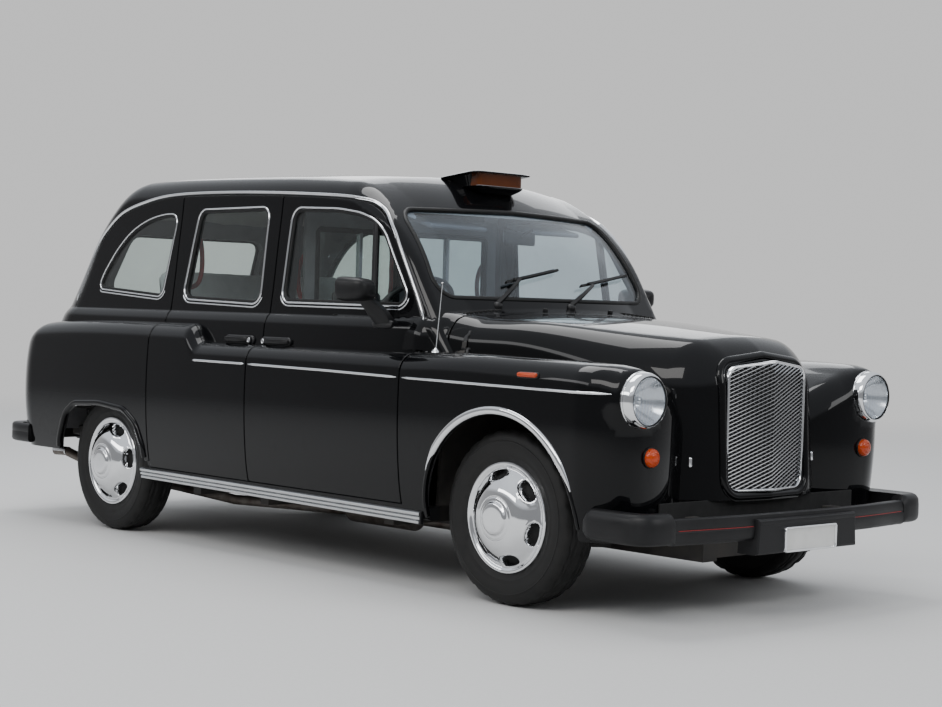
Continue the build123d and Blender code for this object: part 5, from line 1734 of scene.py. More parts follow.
fr_ = resample(rounded([(-.264, .502), (.264, .502), (.264, .618), (-.264, .618)], .008, 5), .006)
Pf, Ff = sweep(np.stack([np.full(len(fr_), xb - .006), fr_[:, 0], fr_[:, 1]], 1), [(-.0045, -.004), (.0045, -.004), (.0045, .004), (.0030, .0065), (-.0030, .0065), (-.0045, .004)], np.array([-1.0, 0, 0]), closed=True)
g.add(tip(Pf), Ff, CHROME)
Pf, Ff = boxy(xb - .0095, xb - .002, -.262, .262, .504, .616, .002)
g.add(tip(Pf), Ff, PLATE_W)
Pf, Ff = boxy(xb - .034, xb - .002, -.150, .150, .640, .668, .008)
g.add(tip(Pf), Ff, CHROME)
Pf, Ff = boxy(xb - .030, xb - .006, -.100, .100, .632, .641, .003)
g.add(tip(Pf), Ff, LENS_WHITE)
P, N = on_tail([(0.0, .735)])
g.add(*lathe_at([(.030, -.004), (.032, .002), (.029, .007), (.018, .009), (.016, .018), (.013, .022), (.001, .0225)], P[0], N[0], 48), CHROME)
bar = smooth_path([(-.062, -.0), (-.02, .0), (.02, 0), (.062, 0)], 16)
g.add(*sweep(np.stack([np.full(16, P[0, 0] - .024), bar[:, 0], np.full(16, P[0, 2])], 1), oval(.014, .012, 10, -.006), np.array([-1.0, 0, 0])), CHROME)
g.make("boot_plate_and_handle", "boot_lid", [], 45)

# --- door handles
for nm, xa, zc, s_, body in (("rear_door", -.330, .9685, 1, "rear_door_SIDE"), ("front_door", -.060, .9665, -1, "front_door_SIDE")):
    # the lock stands near the shut line, the grip runs away from it
    P, N = on_side([(xa, zc)], f_cabin)
    B_ = np.array([[1.0, 0, 0], [0, 0, 1.0], [0, 1.0, 0]])
    c = P[0]
    it = []
    L = .215
    it.append((*pill(L, .044, [(0, -.010), (0, .004), (.002, .0075), (.006, .009)], c, B_), PAINT_IN))
    # grip
    xs_ = np.linspace(-.095, .060, 24) * s_
    yy = .030 - .018 * (np.abs(np.linspace(-1, 1, 24)) ** 6)
    pth = np.stack([c[0] + xs_, np.full(24, c[1]) + yy, np.full(24, c[2] + .002)], 1)
    it.append((*sweep(pth, oval(.024, .013, 12, -.0065, .8), np.array([0, 1.0, 0])), PLASTIC))
    pth2 = pth + np.array([0, .0062, .0085])
    it.append((*sweep(pth2, dome(.004, .0018, 5, .001), np.array([0, 1.0, .6])), PLASTIC))
    for k in (0, -1):
        it.append((*tube(np.array([[pth[k, 0], c[1] - .004, pth[k, 2]], [pth[k, 0], pth[k, 1] + .002, pth[k, 2]]]), .0095, 12), PLASTIC))
    lk = c + np.array([.082 * s_, 0, .001])
    it.append((*lathe_at([(.0175, .002), (.0180, .012), (.0165, .016), (.0130, .017), (.0115, .0145)], lk, (0, 1, 0), 40), PLASTIC))
    it.append((*lathe_at([(.0115, .010), (.0118, .0160), (.0100, .0185), (.0070, .0188), (.0060, .0172), (.0010, .0172)], lk, (0, 1, 0), 36), CHROME))
    sided(nm + "_handle", it, body, sharp=45)

# --- mirrors
it = []
hc = np.array([.585, .862, 1.204])
rows = []
for k, (x_, wy, wz) in enumerate([(.080, .001, .001), (.0785, .024, .016), (.073, .040, .028), (.060, .053, .036), (.040, .061, .041), (.010, .0655, .0440), (-.020, .0670, .0455), (-.040, .0670, .0458), (-.052, .0655, .0445), (-.056, .062, .0415), (-.054, .060, .0395), (-.040, .0585, .038)]):
    row = []
    for j in range(28):
        t = 2 * PI * j / 28
        c_, s2 = math.cos(t), math.sin(t)
        e_ = .55
        row.append((x_ - .12 * wy * c_ * 0, wy * math.copysign(abs(c_) ** e_, c_), wz * math.copysign(abs(s2) ** e_, s2) + .004 * (wy * c_) / .06))
    rows.append(row)
P = np.array(rows).reshape(-1, 3)
an = math.radians(-14)
R_ = np.array([[math.cos(an), -math.sin(an), 0], [math.sin(an), math.cos(an), 0], [0, 0, 1]])
P = (P * [1.0, 1.10, 1.12]) @ R_.T + hc
F = grid_faces(len(rows), 28, False, True)
c = P.mean(0)
i = F[len(F) // 2]
if np.cross(P[i[1]] - P[i[0]], P[i[2]] - P[i[0]]) @ (P[i].mean(0) - c) < 0:
    F = F[:, ::-1]
it.append((P, F, PLASTIC))
ms = []
for j in range(28):
    t = 2 * PI * j / 28
    c_, s2 = math.cos(t), math.sin(t)
    ms.append((-.0475, .0595 * math.copysign(abs(c_) ** .55, c_), .0390 * math.copysign(abs(s2) ** .55, s2)))
Pm = (np.vstack([np.array(ms), [[-.0485, 0, 0]]]) * [1.0, 1.10, 1.12]) @ R_.T + hc
Fm = [[j, (j + 1) % 28, 28] for j in range(28)]
if np.cross(Pm[Fm[0][1]] - Pm[Fm[0][0]], Pm[28] - Pm[Fm[0][0]])[0] > 0:
    Fm = [f[::-1] for f in Fm]
it.append((Pm, Fm, REFLECTOR))
# foot: a flat wedge on the door's corner and an arm up to the head
P0, N0 = on_side([(.640, 1.078)], f_cabin)
ft = P0[0]
arm = smooth_path([ft + [-.005, -.004, -.012], ft + [-.012, .022, .022], ft + [-.028, .052, .056], ft + [-.045, .085, .092]], 14)
pr = [(-.040, -.014), (-.030, -.021), (.030, -.021), (.040, -.014), (.040, .014), (.030, .021), (-.030, .021), (-.040, .014)]
it.append((*sweep(arm, pr, np.array([0, 1.0, .3]), scale=np.linspace(1.12, .60, 14)), PLASTIC))
pl, nl = along(f_cabin, [(.695, 1.062), (.575, 1.066)], 12)
it.append((*sweep(pl, [(-.022, -.006), (.022, -.006), (.020, .006), (.012, .012), (-.012, .012), (-.020, .006)], nl, scale=np.array([.55, .8, .95, 1, 1, 1, 1, 1, 1, .95, .8, .55])), PLASTIC))
sided("mirror", it, "front_door_SIDE", ["door_mirror_SIDE"], sharp=45)

# --- wipers: arm and blade on the screen
g = Group()


def screen_pt(y, z, lift):
    P, N = on_front([(y, z)])
    return P[0] + N[0] * lift


def wiper(piv, tip_arm, b0, b1):
    a0, a1 = np.array(piv), screen_pt(tip_arm[0], tip_arm[1], .030)
    g.add(*lathe_at([(.022, -.012), (.022, .002), (.018, .010), (.008, .014), (.001, .014)], a0 + [0, 0, .004], (.4, 0, 1), 28), PLASTIC)
    pth = smooth_path([a0 + [.0, 0, .014], a0 * .65 + a1 * .35 + [.014, 0, .016], a1], 14)
    g.add(*sweep(pth, [(-.0095, -.004), (.0095, -.004), (.007, .005), (-.007, .005)], np.array([.55, 0, .8]), scale=np.linspace(1.2, .75, 14)), PLASTIC)
    n_ = 26
    ys, zs_ = np.linspace(b0[0], b1[0], n_), np.linspace(b0[1], b1[1], n_)
    P, N = on_front(np.stack([ys, zs_], 1))
    g.add(*sweep(P + N * .0115, [(-.0025, -.0095), (.0025, -.0095), (.0050, .002), (.0050, .007), (-.0050, .007), (-.0050, .002)], N), RUBBER)
    q = P[3:-3] + N[3:-3] * .022
    g.add(*sweep(q, [(-.0062, -.005), (.0062, -.005), (.0050, .0045), (-.0050, .0045)], N[3:-3]), PLASTIC)
    for k in (3, 9, 16, 22):
        g.add(*tube(np.array([P[k] + N[k] * .012, P[k] + N[k] * .024]), .0045, 8), PLASTIC)


wiper((.905, -.353, 1.150), (-.209, 1.256), (-.278, 1.246), (.050, 1.308))
wiper((.940, .050, 1.150), (.228, 1.242), (.160, 1.243), (.560, 1.300))
# washer jets and air-intake slots
for y_ in (-.16, .24):
    g.add(*boxy(.985, 1.005, y_ - .008, y_ + .008, 1.130, 1.146, .004), PLASTIC)
# the intake slots are near-black blocks: painted shade in the openings
for k in range(8):
    y_ = .380 + k * .027
    for sg in (1, -1):
        P, N = cast(f_scuttle, np.array([[.925, sg * y_, .98]]), np.array([0, 0, 1.0]), .4), None
        g.add(*boxy(.895, .955, sg * y_ - .0045, sg * y_ + .0045, float(P[0, 2]) - .010, float(P[0, 2]) + .0012, .002), DARK)
g.make("wipers", "root", [], 45)

# --- aerial on the near wing
g = Group()
P = cast(f_wing, np.array([[.925, -.712, .80]]), np.array([0, 0, 1.0]), .3)
N = normal(f_wing, P)
g.add(*lathe_at([(.020, -.006), (.021, .002), (.018, .010), (.010, .016), (.008, .020), (.004, .022)], P[0], N[0], 36), CHROME)
tip_ = P[0] + np.array([.030, 0, .285])
g.add(*tube(np.stack([P[0] + (tip_ - P[0]) * t for t in np.linspace(0, 1, 8)]), np.linspace(.0032, .0018, 8), 8), CHROME)
P2, F2 = lathe_at([(.0005, -.004), (.0032, -.003), (.0045, 0), (.0032, .003), (.0005, .004)], tip_, (0, 0, 1), 14)
g.add(P2, F2, CHROME)
g.make("aerial", "root", [], 50)

# --- roof sign: a black wedge with an amber front, blank
def ring_rows(levels, n=80):
    """levels: (z at the front, slope back, half width front, half width back, x front, x back, squareness)."""
    rows = []
    for z_2, sl, af, ab, xf, xb_, e_ in levels:
        row = []
        for j in range(n):
            t = 2 * PI * (j + .5) / n
            c_, s2 = math.cos(t), math.sin(t)
            x_ = (xf + xb_) / 2 + (xf - xb_) / 2 * math.copysign(abs(c_) ** e_, c_)
            k_ = (xf - x_) / (xf - xb_)
            y_ = (af + (ab - af) * k_) * math.copysign(abs(s2) ** e_, s2)
            row.append((x_, y_, z_2 - sl * (xf - x_)))
        rows.append(row)
    return np.array(rows)


def loft_rows(P, cap0=True, cap1=True):
    m_, n_ = P.shape[:2]
    F = grid_faces(m_, n_, False, True)
    Q = P.reshape(-1, 3)
    F = [f[::-1] for f in F.tolist()]
    if cap0:
        F.append(list(range(n_)))
    if cap1:
        F.append(list(range((m_ - 1) * n_, m_ * n_))[::-1])
    i = F[(m_ - 1) * n_ // 2]
    nrm = np.cross(Q[i[1]] - Q[i[0]], Q[i[2]] - Q[i[0]])
    if nrm @ (Q[i].mean(0) - Q.mean(0)) < 0:
        F = [f[::-1] for f in F]
    return Q, F


g = Group()
g.add(*loft_rows(ring_rows([(1.630, 0, .088, .080, .478, .372, .5), (1.650, 0, .110, .100, .512, .354, .46), (1.668, 0, .140, .124, .541, .335, .42), (1.677, .01, .151, .133, .548, .330, .40), (1.681, .015, .154, .136, .549, .328, .40), (1.683, .015, .150, .133, .545, .332, .40)])), PAINT)
g.add(*loft_rows(ring_rows([(1.680, 0, .136, .130, .536, .40, .22), (1.7385, 0, .136, .130, .536, .40, .22)])), LENS_ROOF)
g.add(*loft_rows(ring_rows([(1.681, .06, .1395, .139, .492, .322, .30), (1.7385, .09, .150, .160, .492, .316, .30)])), PAINT)
g.add(*loft_rows(ring_rows([(1.7370, .095, .158, .158, .540, .312, .30), (1.7385, .095, .174, .172, .5575, .302, .28), (1.7405, .095, .179, .177, .5605, .299, .27), (1.7435, .095, .180, .178, .5610, .299, .27), (1.7470, .100, .1765, .174, .5560, .303, .28), (1.7505, .105, .158, .156, .530, .322, .32), (1.7535, .100, .120, .118, .490, .352, .40), (1.7545, .09, .060, .058, .455, .385, .5)])), PAINT)
g.add(*loft_rows(ring_rows([(1.6830, 0, .1385, .132, .5385, .50, .2), (1.6850, 0, .1385, .132, .5385, .50, .2)])), CHROME)
g.make("roof_sign_cover", "root", ["roof_sign"], 38)

# --- exhaust tip
g = Group()
g.add(*lathe_at([(.0230, -.115), (.0232, .012), (.0222, .0145), (.0205, .0140), (.0200, .010), (.0200, -.10)], (-2.216, -.600, .327), (-1, 0, 0), 36), STEEL)
# a near-black disc inside the pipe: painted shade down the bore
g.add(*lathe_at([(.0200, -.02), (.001, -.02)], (-2.216, -.600, .327), (-1, 0, 0), 36), DARK)
g.make("exhaust_tip", "root", [], 45)

# ======================================================================
# Inside: seats, dashboard, partition, trim
# ======================================================================


def pad(L, W, T, r=.045, crown=.02, across=(), along_=(), pinch=.010, h=None, groove=.007, pipe=True):
    """A stuffed cushion about the origin: L along x, W along y, T thick, crowned above, its sides pulled in
    between the corners, with sewn channels across (at x) and along (at y). Returns points, triangles, normals."""
    h = h or .0215

    def f(x, y, z):
        u, v = 2 * x / L, 2 * y / W
        cu, cv = np.clip(1 - u * u, 0, 1), np.clip(1 - v * v, 0, 1)
        top = T / 2 - crown + crown * 1.25 * np.sqrt(cu * cv + .0004)
        for a in across:
            top = top - groove * np.exp(-((x - a) / .0075) ** 2) + .0035 * np.exp(-((x - a) / .030) ** 2)
        for b in along_:
            top = top - groove * np.exp(-((y - b) / .0075) ** 2) + .0035 * np.exp(-((y - b) / .030) ** 2)
        a1 = np.abs(x) - (L / 2 - pinch * cv + .006 * np.cos(np.clip(z / T, -.5, .5) * PI))
        a2 = np.abs(y) - (W / 2 - pinch * cu + .006 * np.cos(np.clip(z / T, -.5, .5) * PI))
        f_ = rmax(rmax(a1, a2, r), z - top, r * .8)
        return rmax(f_, -z - T / 2, r * .35)
    lo = (-L / 2 - .03, -W / 2 - .03, -T / 2 - .03)
    hi = (L / 2 + .03, W / 2 + .03, T / 2 + .04)
    P, F = nets(f, lo, hi, h)
    if across:
        P, F = refine(P, F, f, lambda Q: np.min([np.abs(Q[:, 0] - a) for a in across], 0) - .012, .012, h * .55)
    if along_:
        P, F = refine(P, F, f, lambda Q: np.min([np.abs(Q[:, 1] - a) for a in along_], 0) - .012, .012, h * .55)
    N = normal(f, P)
    # the piped seam round the top edge
    pth = []
    n = 96
    for i in range(n):
        a = 2 * PI * i / n
        c_, s_ = math.cos(a), math.sin(a)
        e = .34
        pth.append(((L / 2 - .006) * math.copysign(abs(c_) ** e, c_), (W / 2 - .006) * math.copysign(abs(s_) ** e, s_), T / 2 - crown - r * .35))
    pth = np.array(pth)
    for _ in range(12):
        g_ = grad(f, pth)
        g_[:, 2] = 0
        pth = pth - g_ * np.clip(at(f, pth), -.02, .02)[:, None] / np.maximum((g_ ** 2).sum(1), .1)[:, None]
    seam = sweep(pth, oval(.0065, .0065, 8, -.0035), np.array([0, 0, 1.0]), closed=True)
    return P, F, N, seam


def placed(P, o, ang, roll=0.0):
    """Turns a cushion up by ang about y (0 lies flat, 90 stands) and puts it at o."""
    a = math.radians(ang)
    c_, s_ = math.cos(a), math.sin(a)
    R_ = np.array([[c_, 0, -s_], [0, 1, 0], [s_, 0, c_]])
    return np.asarray(P) @ R_.T + np.array(o, float)


def cushion(name, size, o, ang, mat_, pipe, body, nodes=(), fill=.8, **kw):
    P, F, N, seam = pad(*size, **kw)
    g = Group()
    g.add(placed(P, o, ang), F, mat_)
    g.add(placed(seam[0], o, ang), seam[1], pipe)
    ob = g.make(name, body, nodes, 60)
    return ob


# driver's seat
cushion("driver_seat_cushion", (.475, .470, .130), (.262, -.375, .578), 4, CLOTH_DARK, PLASTIC, "root", ["driver_seat"], .85, crown=.022, along_=(-.125, .125), across=(.07, -.06))
cushion("driver_seat_back", (.530, .455, .105), (.030, -.375, .885), 97, CLOTH_DARK, PLASTIC, "root", (), .85, crown=.020, along_=(-.120, .120), across=(-.10, .04, .16))
cushion("driver_head_rest", (.150, .250, .085), (-.004, -.375, 1.125), 96, CLOTH_DARK, PLASTIC, "root", (), .9, r=.035, crown=.012)
g = Group()
for y_ in (-.435, -.315):
    g.add(*tube(np.array([[.012, y_, 1.02], [-.002, y_, 1.10]]), .006, 12), STEEL)
for y_ in (-.56, -.19):
    g.add(*boxy(.03, .46, y_ - .022, y_ + .022, .338, .372, .006), UNDER)
    g.add(*boxy(.08, .44, y_ - .012, y_ + .012, .372, .505, .004), PLASTIC)
g.add(*boxy(.075, .440, -.560, -.190, .470, .512, .012), PLASTIC)
g.add(*boxy(.05, .30, -.625, -.612, .49, .56, .010), PLASTIC)
g.make("driver_seat_frame", "root", [], 40)

# rear bench in its light covers
cushion("rear_seat_cushion", (.475, 1.110, .150), (-1.065, 0, .668), 4, CLOTH, CLOTH_DARK, "root", ["rear_seat"], .85, h=.0230, r=.055, crown=.026, along_=(-.185, .185), across=(.10,))
cushion("rear_seat_back", (.625, 1.110, .125), (-1.275, 0, .972), 100, CLOTH, CLOTH_DARK, "root", (), .85, h=.0235, r=.050, crown=.024, along_=(-.185, .185), across=(.04, .18))
g = Group()
g.add(*boxy(-1.290, -.850, -.545, .545, .36, .600, .018), LINER)
for y_ in (-.40, .40):
    # belts: a strap down the back of the bench and its buckle
    pth = placed(np.stack([np.linspace(.27, -.24, 24), np.full(24, y_) + .10 * np.linspace(0, 1, 24) * (1 if y_ < 0 else -1), np.full(24, .072) + .006 * np.sin(np.linspace(0, PI, 24))], 1), (-1.272, 0, .955), 100)
    g.add(*sweep(pth, [(-.024, -.0008), (.024, -.0008), (.024, .0010), (-.024, .0010)], np.array([1.0, 0, .2])), CLOTH_DARK)
    g.add(*boxy(-1.175, -1.120, y_ * .55 - .018, y_ * .55 + .018, .745, .795, .008), PLASTIC)
g.make("rear_seat_base_and_belts", "root", [], 40)

# tip-up seats folded against the partition
for sg, sd in ((1, "left"), (-1, "right")):
    P, F, N, seam = pad(.395, .385, .062, r=.026, crown=.010, across=(0.0,))
    g = Group()
    q = placed(P * [1, 1, -1.0], (0, 0, 0), 90)
    g.add(q * [1, 1, 1] + np.array([-.168, sg * .285, .762]), F[:, ::-1], CLOTH)
    g.add(placed(np.asarray(seam[0]) * [1, 1, -1.0], (0, 0, 0), 90) + np.array([-.168, sg * .285, .762]), [f[::-1] for f in seam[1]], CLOTH_DARK)
    ob = g.make(f"tip_up_seat_{sd}", "root", ["tip_up_seats"] if sd == "left" else [], 60)
g = Group()
for sg in (1, -1):
    g.add(*boxy(-.139, -.128, sg * .285 - .19, sg * .285 + .19, .565, .955, .006), PLASTIC)
    for dy in (-.15, .15):
        g.add(*lathe_at([(.001, -.012), (.016, -.012), (.016, .012), (.001, .012)], (-.150, sg * .285 + dy, .568), (0, 1, 0), 20), STEEL)
g.make("tip_up_seat_mounts", "root", [], 40)

# partition: its board, framed openings, sliding panes, grab rails
g = Group()
for sg in (1, -1):
    o = rounded([(sg * .04, 1.0), (sg * .52, 1.0), (sg * .52, 1.48), (sg * .04, 1.48)], .02, 5)
    o = resample(o, .012)
    for xx, dr in ((-.128, -1.0), (-.112, 1.0)):
        g.add(*sweep(np.stack([np.full(len(o), xx), o[:, 0], o[:, 1]], 1), dome(.026, .007, 7, .003), np.array([dr, 0, 0]), closed=True), RUBBER)
    g.add(*boxy(-.134, -.106, sg * .27 - .010, sg * .27 + .010, 1.0, 1.48, .004), STEEL)
    g.add(*boxy(-.138, -.128, sg * .245 - .012, sg * .245 + .012, 1.20, 1.26, .004), CHROME)
    g.add(*tube(smooth_path([(-.132, sg * .555, 1.12), (-.170, sg * .555, 1.15), (-.172, sg * .555, 1.35), (-.132, sg * .555, 1.38)], 20), .011, 12), RED_PLASTIC)
for z_2 in (.52, .98):
    g.add(*boxy(-.134, -.127, -.585, .585, z_2 - .012, z_2 + .012, .003), PLASTIC)
g.make("partition_fittings", "root", [], 40)
g = Group()
for sg in (1, -1):
    for a_, b_, xx in ((.05, .285, -.1225), (.255, .51, -.1175)):
        g.add(*boxy(xx - .0018, xx + .0018, min(sg * a_, sg * b_), max(sg * a_, sg * b_), 1.008, 1.472, .001, 1), GLASS)
g.make("partition_panes", "root", [], 40)

# dashboard: padded top, instrument hood, dials, vents, switch row, shelf
g = Group()
sec = [(.700, .862), (.672, .895), (.648, .925), (.640, .950), (.644, .985), (.652, 1.012), (.666, 1.030), (.690, 1.040), (.760, 1.047), (.830, 1.049), (.872, 1.046), (.879, 1.034), (.879, .902), (.860, .880)]
sec = [tuple(p) for p in resample(np.array(sec), .012)]
ys = np.r_[-.671, -.668, -.655, np.linspace(-.64, .64, 60), .655, .668, .671]
sc3 = np.interp(np.abs(ys), [0, .64, .655, .668, .671], [1, 1, .985, .93, .86])
c_ = np.array([.762, .965])
rows = [[(c_[0] + (p[0] - c_[0]) * s_, y_, c_[1] + (p[1] - c_[1]) * s_) for p in sec] for y_, s_ in zip(ys, sc3)]
g.add(*loft_rows(np.array(rows)), PLASTIC)
# instrument hood
hd = [(.80, 1.046), (.70, 1.046), (.655, 1.030), (.648, 1.046), (.668, 1.078), (.70, 1.090), (.76, 1.086), (.80, 1.062)]
hd = [tuple(p) for p in resample(np.array(hd), .010)]
ys = np.r_[-.535, -.53, -.515, np.linspace(-.50, -.25, 16), -.235, -.22, -.215]
s4 = np.interp(np.abs(ys + .375), [0, .125, .14, .155, .16], [1, 1, .96, .84, .70])
rows = [[(.73 + (p[0] - .73) * s_, y_, 1.046 + (p[1] - 1.046) * s_) for p in hd] for y_, s_ in zip(ys, s4)]
g.add(*loft_rows(np.array(rows)), PLASTIC)
for y_, r_ in ((-.440, .046), (-.315, .046), (-.378, .022)):
    zc_ = 1.000 if r_ > .03 else 1.030
    g.add(*lathe_at([(r_ + .005, -.008), (r_ + .006, .002), (r_ + .003, .006), (r_, .004), (r_, -.002)], (.643, y_, zc_), (-1, 0, .18), 40), CHROME)
    g.add(*lathe_at([(r_, -.001), (.0005, -.001)], (.643, y_, zc_), (-1, 0, .18), 40), TRIMBOARD)
    for k in range(11):
        t = math.radians(-40 + 26 * k)
        B_ = basis((-1, 0, .18), (0, 0, 1))
        q0 = np.array([.643, y_, zc_]) + (B_[0] * math.cos(t) + B_[1] * math.sin(t)) * r_ * .74
        q1 = np.array([.643, y_, zc_]) + (B_[0] * math.cos(t) + B_[1] * math.sin(t)) * r_ * .92
        g.add(*tube(np.array([q0, q1]), .0010, 4), LENS_WHITE)
    t = math.radians(200)
    q1 = np.array([.643, y_, zc_]) + (B_[0] * math.cos(t) + B_[1] * math.sin(t)) * r_ * .8 + np.array([-.002, 0, 0])
    g.add(*tube(np.array([np.array([.641, y_, zc_]), q1]), .0012, 4), RED_PLASTIC)
# vents: near-black blocks behind the louvres, painted shade in the openings
for y_ in (-.60, -.16, .02, .60):
    g.add(*boxy(.634, .650, y_ - .052, y_ + .052, .958, 1.006, .006), DARK)
    for k in range(4):
        g.add(*boxy(.630, .642, y_ - .046, y_ + .046, .964 + k * .011, .9665 + k * .011, .001, 1), PLASTIC)
g.add(*boxy(.630, .646, .16, .50, .905, 1.000, .010), TRIMBOARD)
g.add(*boxy(.624, .634, .31, .35, .975, .988, .004), CHROME)
for k in range(6):
    g.add(*boxy(.626, .645, -.215 + k * .033, -.190 + k * .033, .918, .940, .004), PLASTIC)
g.add(*boxy(.640, .80, -.105, .105, .62, .885, .014), PLASTIC)
for k in range(3):
    g.add(*lathe_at([(.017, -.004), (.018, .004), (.015, .014), (.001, .015)], (.640, -.06 + .06 * k, .80), (-1, 0, 0), 24), TRIMBOARD)
g.make("dashboard_detailed", "root", ["dashboard"], 38)

# column cowl and stalks, pedals, gear and brake levers
g = Group()
B_ = basis((math.cos(math.radians(38)), 0, -math.sin(math.radians(38))), (0, 0, 1))
cc = np.array([.470, -.375, 1.020])
dv = B_[2]
g.add(*lathe_at([(.030, .072), (.036, .075), (.040, .09), (.044, .14), (.040, .165), (.001, .17)], cc, dv, 28), PLASTIC)
for sg in (1, -1):
    p0 = cc + dv * .105 + np.array([0, sg * .035, 0])
    p1 = p0 + np.array([-.030, sg * .115, .012])
    g.add(*tube(smooth_path([p0, (p0 + p1) / 2 + [0, 0, .004], p1], 8), np.linspace(.0055, .0075, 8), 10), PLASTIC)
g.make("column_cowl", "root", [], 45)
g = Group()
for y_, w_ in ((-.30, .028), (-.38, .028), (-.465, .024)):
    g.add(*boxy(.815, .835, y_ - w_, y_ + w_, .47, .545, .006), RUBBER)
    g.add(*tube(np.array([[.83, y_, .53], [.90, y_, .66], [.93, y_, .80]]), .007, 8), UNDER)
g.add(*tube(smooth_path([(.56, -.06, .55), (.54, -.065, .66), (.53, -.075, .76)], 12), .007, 10), UNDER)
g.add(*lathe_at([(.001, -.024), (.016, -.020), (.022, 0), (.018, .018), (.001, .026)], (.53, -.075, .775), (0, 0, 1), 24), PLASTIC)
g.add(*loft_rows(np.array([[(.56 + r_ * math.cos(t), -.06 + r_ * math.sin(t), z_2) for t in np.linspace(0, 2 * PI, 25)[:-1]] for r_, z_2 in ((.075, .552), (.062, .562), (.058, .575), (.040, .590), (.030, .600), (.012, .608))])), RUBBER)
g.add(*tube(smooth_path([(.36, -.10, .56), (.28, -.10, .60), (.16, -.10, .66)], 12), .008, 10), UNDER)
g.add(*tube(np.array([[.22, -.10, .63], [.13, -.10, .675]]), .014, 14), PLASTIC)
g.make("levers_and_pedals", "root", [], 45)

# interior mirror, sun visors, grab handles of the rear
g = Group()
P0 = screen_pt(.06, 1.500, -.014)
g.add(*tube(smooth_path([P0, P0 + np.array([-.035, -.002, -.012]), P0 + np.array([-.062, -.006, -.028])], 10), .006, 10), PLASTIC)
mr = P0 + np.array([-.072, -.008, -.034])
Pm, Fm = boxy(-.010, .010, -.118, .118, -.030, .030, .010)
an = math.radians(12)
g.add(Pm @ np.array([[math.cos(an), -math.sin(an), 0], [math.sin(an), math.cos(an), 0], [0, 0, 1]]).T + mr, Fm, PLASTIC)
Pm, Fm = boxy(-.0115, -.0095, -.112, .112, -.025, .025, .001, 1)
g.add(Pm @ np.array([[math.cos(an), -math.sin(an), 0], [math.sin(an), math.cos(an), 0], [0, 0, 1]]).T + mr, Fm, REFLECTOR)
for sg in (1, -1):
    p0 = screen_pt(sg * .30, 1.522, -.085)
    Pm, Fm = boxy(-.150, .0, -.165, .165, -.010, .010, .009)
    a_ = math.radians(14)
    g.add(Pm @ np.array([[math.cos(a_), 0, math.sin(a_)], [0, 1, 0], [-math.sin(a_), 0, math.cos(a_)]]).T + p0 + np.array([.005, 0, .025]), Fm, LINER)
g.make("mirror_and_visors", "root", [], 40)
it = [(*tube(smooth_path([(-.965, .640, 1.470), (-.935, .612, 1.455), (-.915, .600, 1.40), (-.912, .596, 1.33), (-.915, .600, 1.26), (-.935, .612, 1.215), (-.965, .640, 1.200)], 36), .0115, 14), RED_PLASTIC)]
for z_2 in (1.472, 1.198):
    it.append((*lathe_at([(.024, -.002), (.024, .004), (.018, .010), (.001, .011)], (-.965, .650, z_2), (0, -1, 0), 24), PLASTIC))
sided("grab_handle", it, "root", sharp=45)

# mats
g = Group()
g.add(*boxy(.10, .80, -.66, -.11, .560, .566, .002, 1), RUBBER)
for k in range(11):
    g.add(*boxy(.12, .78, -.645 + k * .052, -.637 + k * .052, .565, .569, .001, 1), RUBBER)
g.add(*boxy(-.84, -.22, -.64, .64, .4405, .4455, .002, 1), RUBBER)
for k in range(24):
    g.add(*boxy(-.82, -.24, -.625 + k * .053, -.617 + k * .053, .445, .4485, .001, 1), RUBBER)
g.make("floor_mats", "root", [], 40)

# door pulls: arm rests and handles on the doors
for nm, x0_, x1_, hx_ in (("front_door", .02, .42, .46), ("rear_door", -.78, -.36, -.30)):
    it = []
    rows = []
    for x_, s_ in zip(np.linspace(x0_, x1_, 16), np.interp(np.linspace(0, 1, 16), [0, .08, .25, .75, .92, 1], [.25, .75, 1, 1, .75, .25])):
        rows.append([(x_, .655 - .050 * s_ * (.5 + .5 * math.cos(t)) + .02 * (1 - s_) + .0, .845 + .026 * s_ * math.sin(t)) for t in np.linspace(0, 2 * PI, 17)[:-1]])
    it.append((*loft_rows(np.array(rows)), TRIMBOARD))
    it.append((*boxy(hx_ - .045, hx_ + .045, .628, .648, .955, .985, .008), PLASTIC))
    it.append((*tube(np.array([[hx_ - .030, .628, .970], [hx_ + .034, .622, .970]]), .006, 10), CHROME))
    it.append((*lathe_at([(.017, -.010), (.018, .006), (.012, .012), (.001, .012)], (hx_ - .11, .640, .905), (0, -1, 0), 24), PLASTIC))
    it.append((*tube(np.array([[hx_ - .11, .628, .905], [hx_ - .16, .624, .868]]), .0055, 10), PLASTIC))
    sided(nm + "_inner_fittings", it, nm + "_SIDE", sharp=40)

# ======================================================================
# Inner structure: the frame's panels held under the outer skins, and the
# running gear in its own materials
# ======================================================================


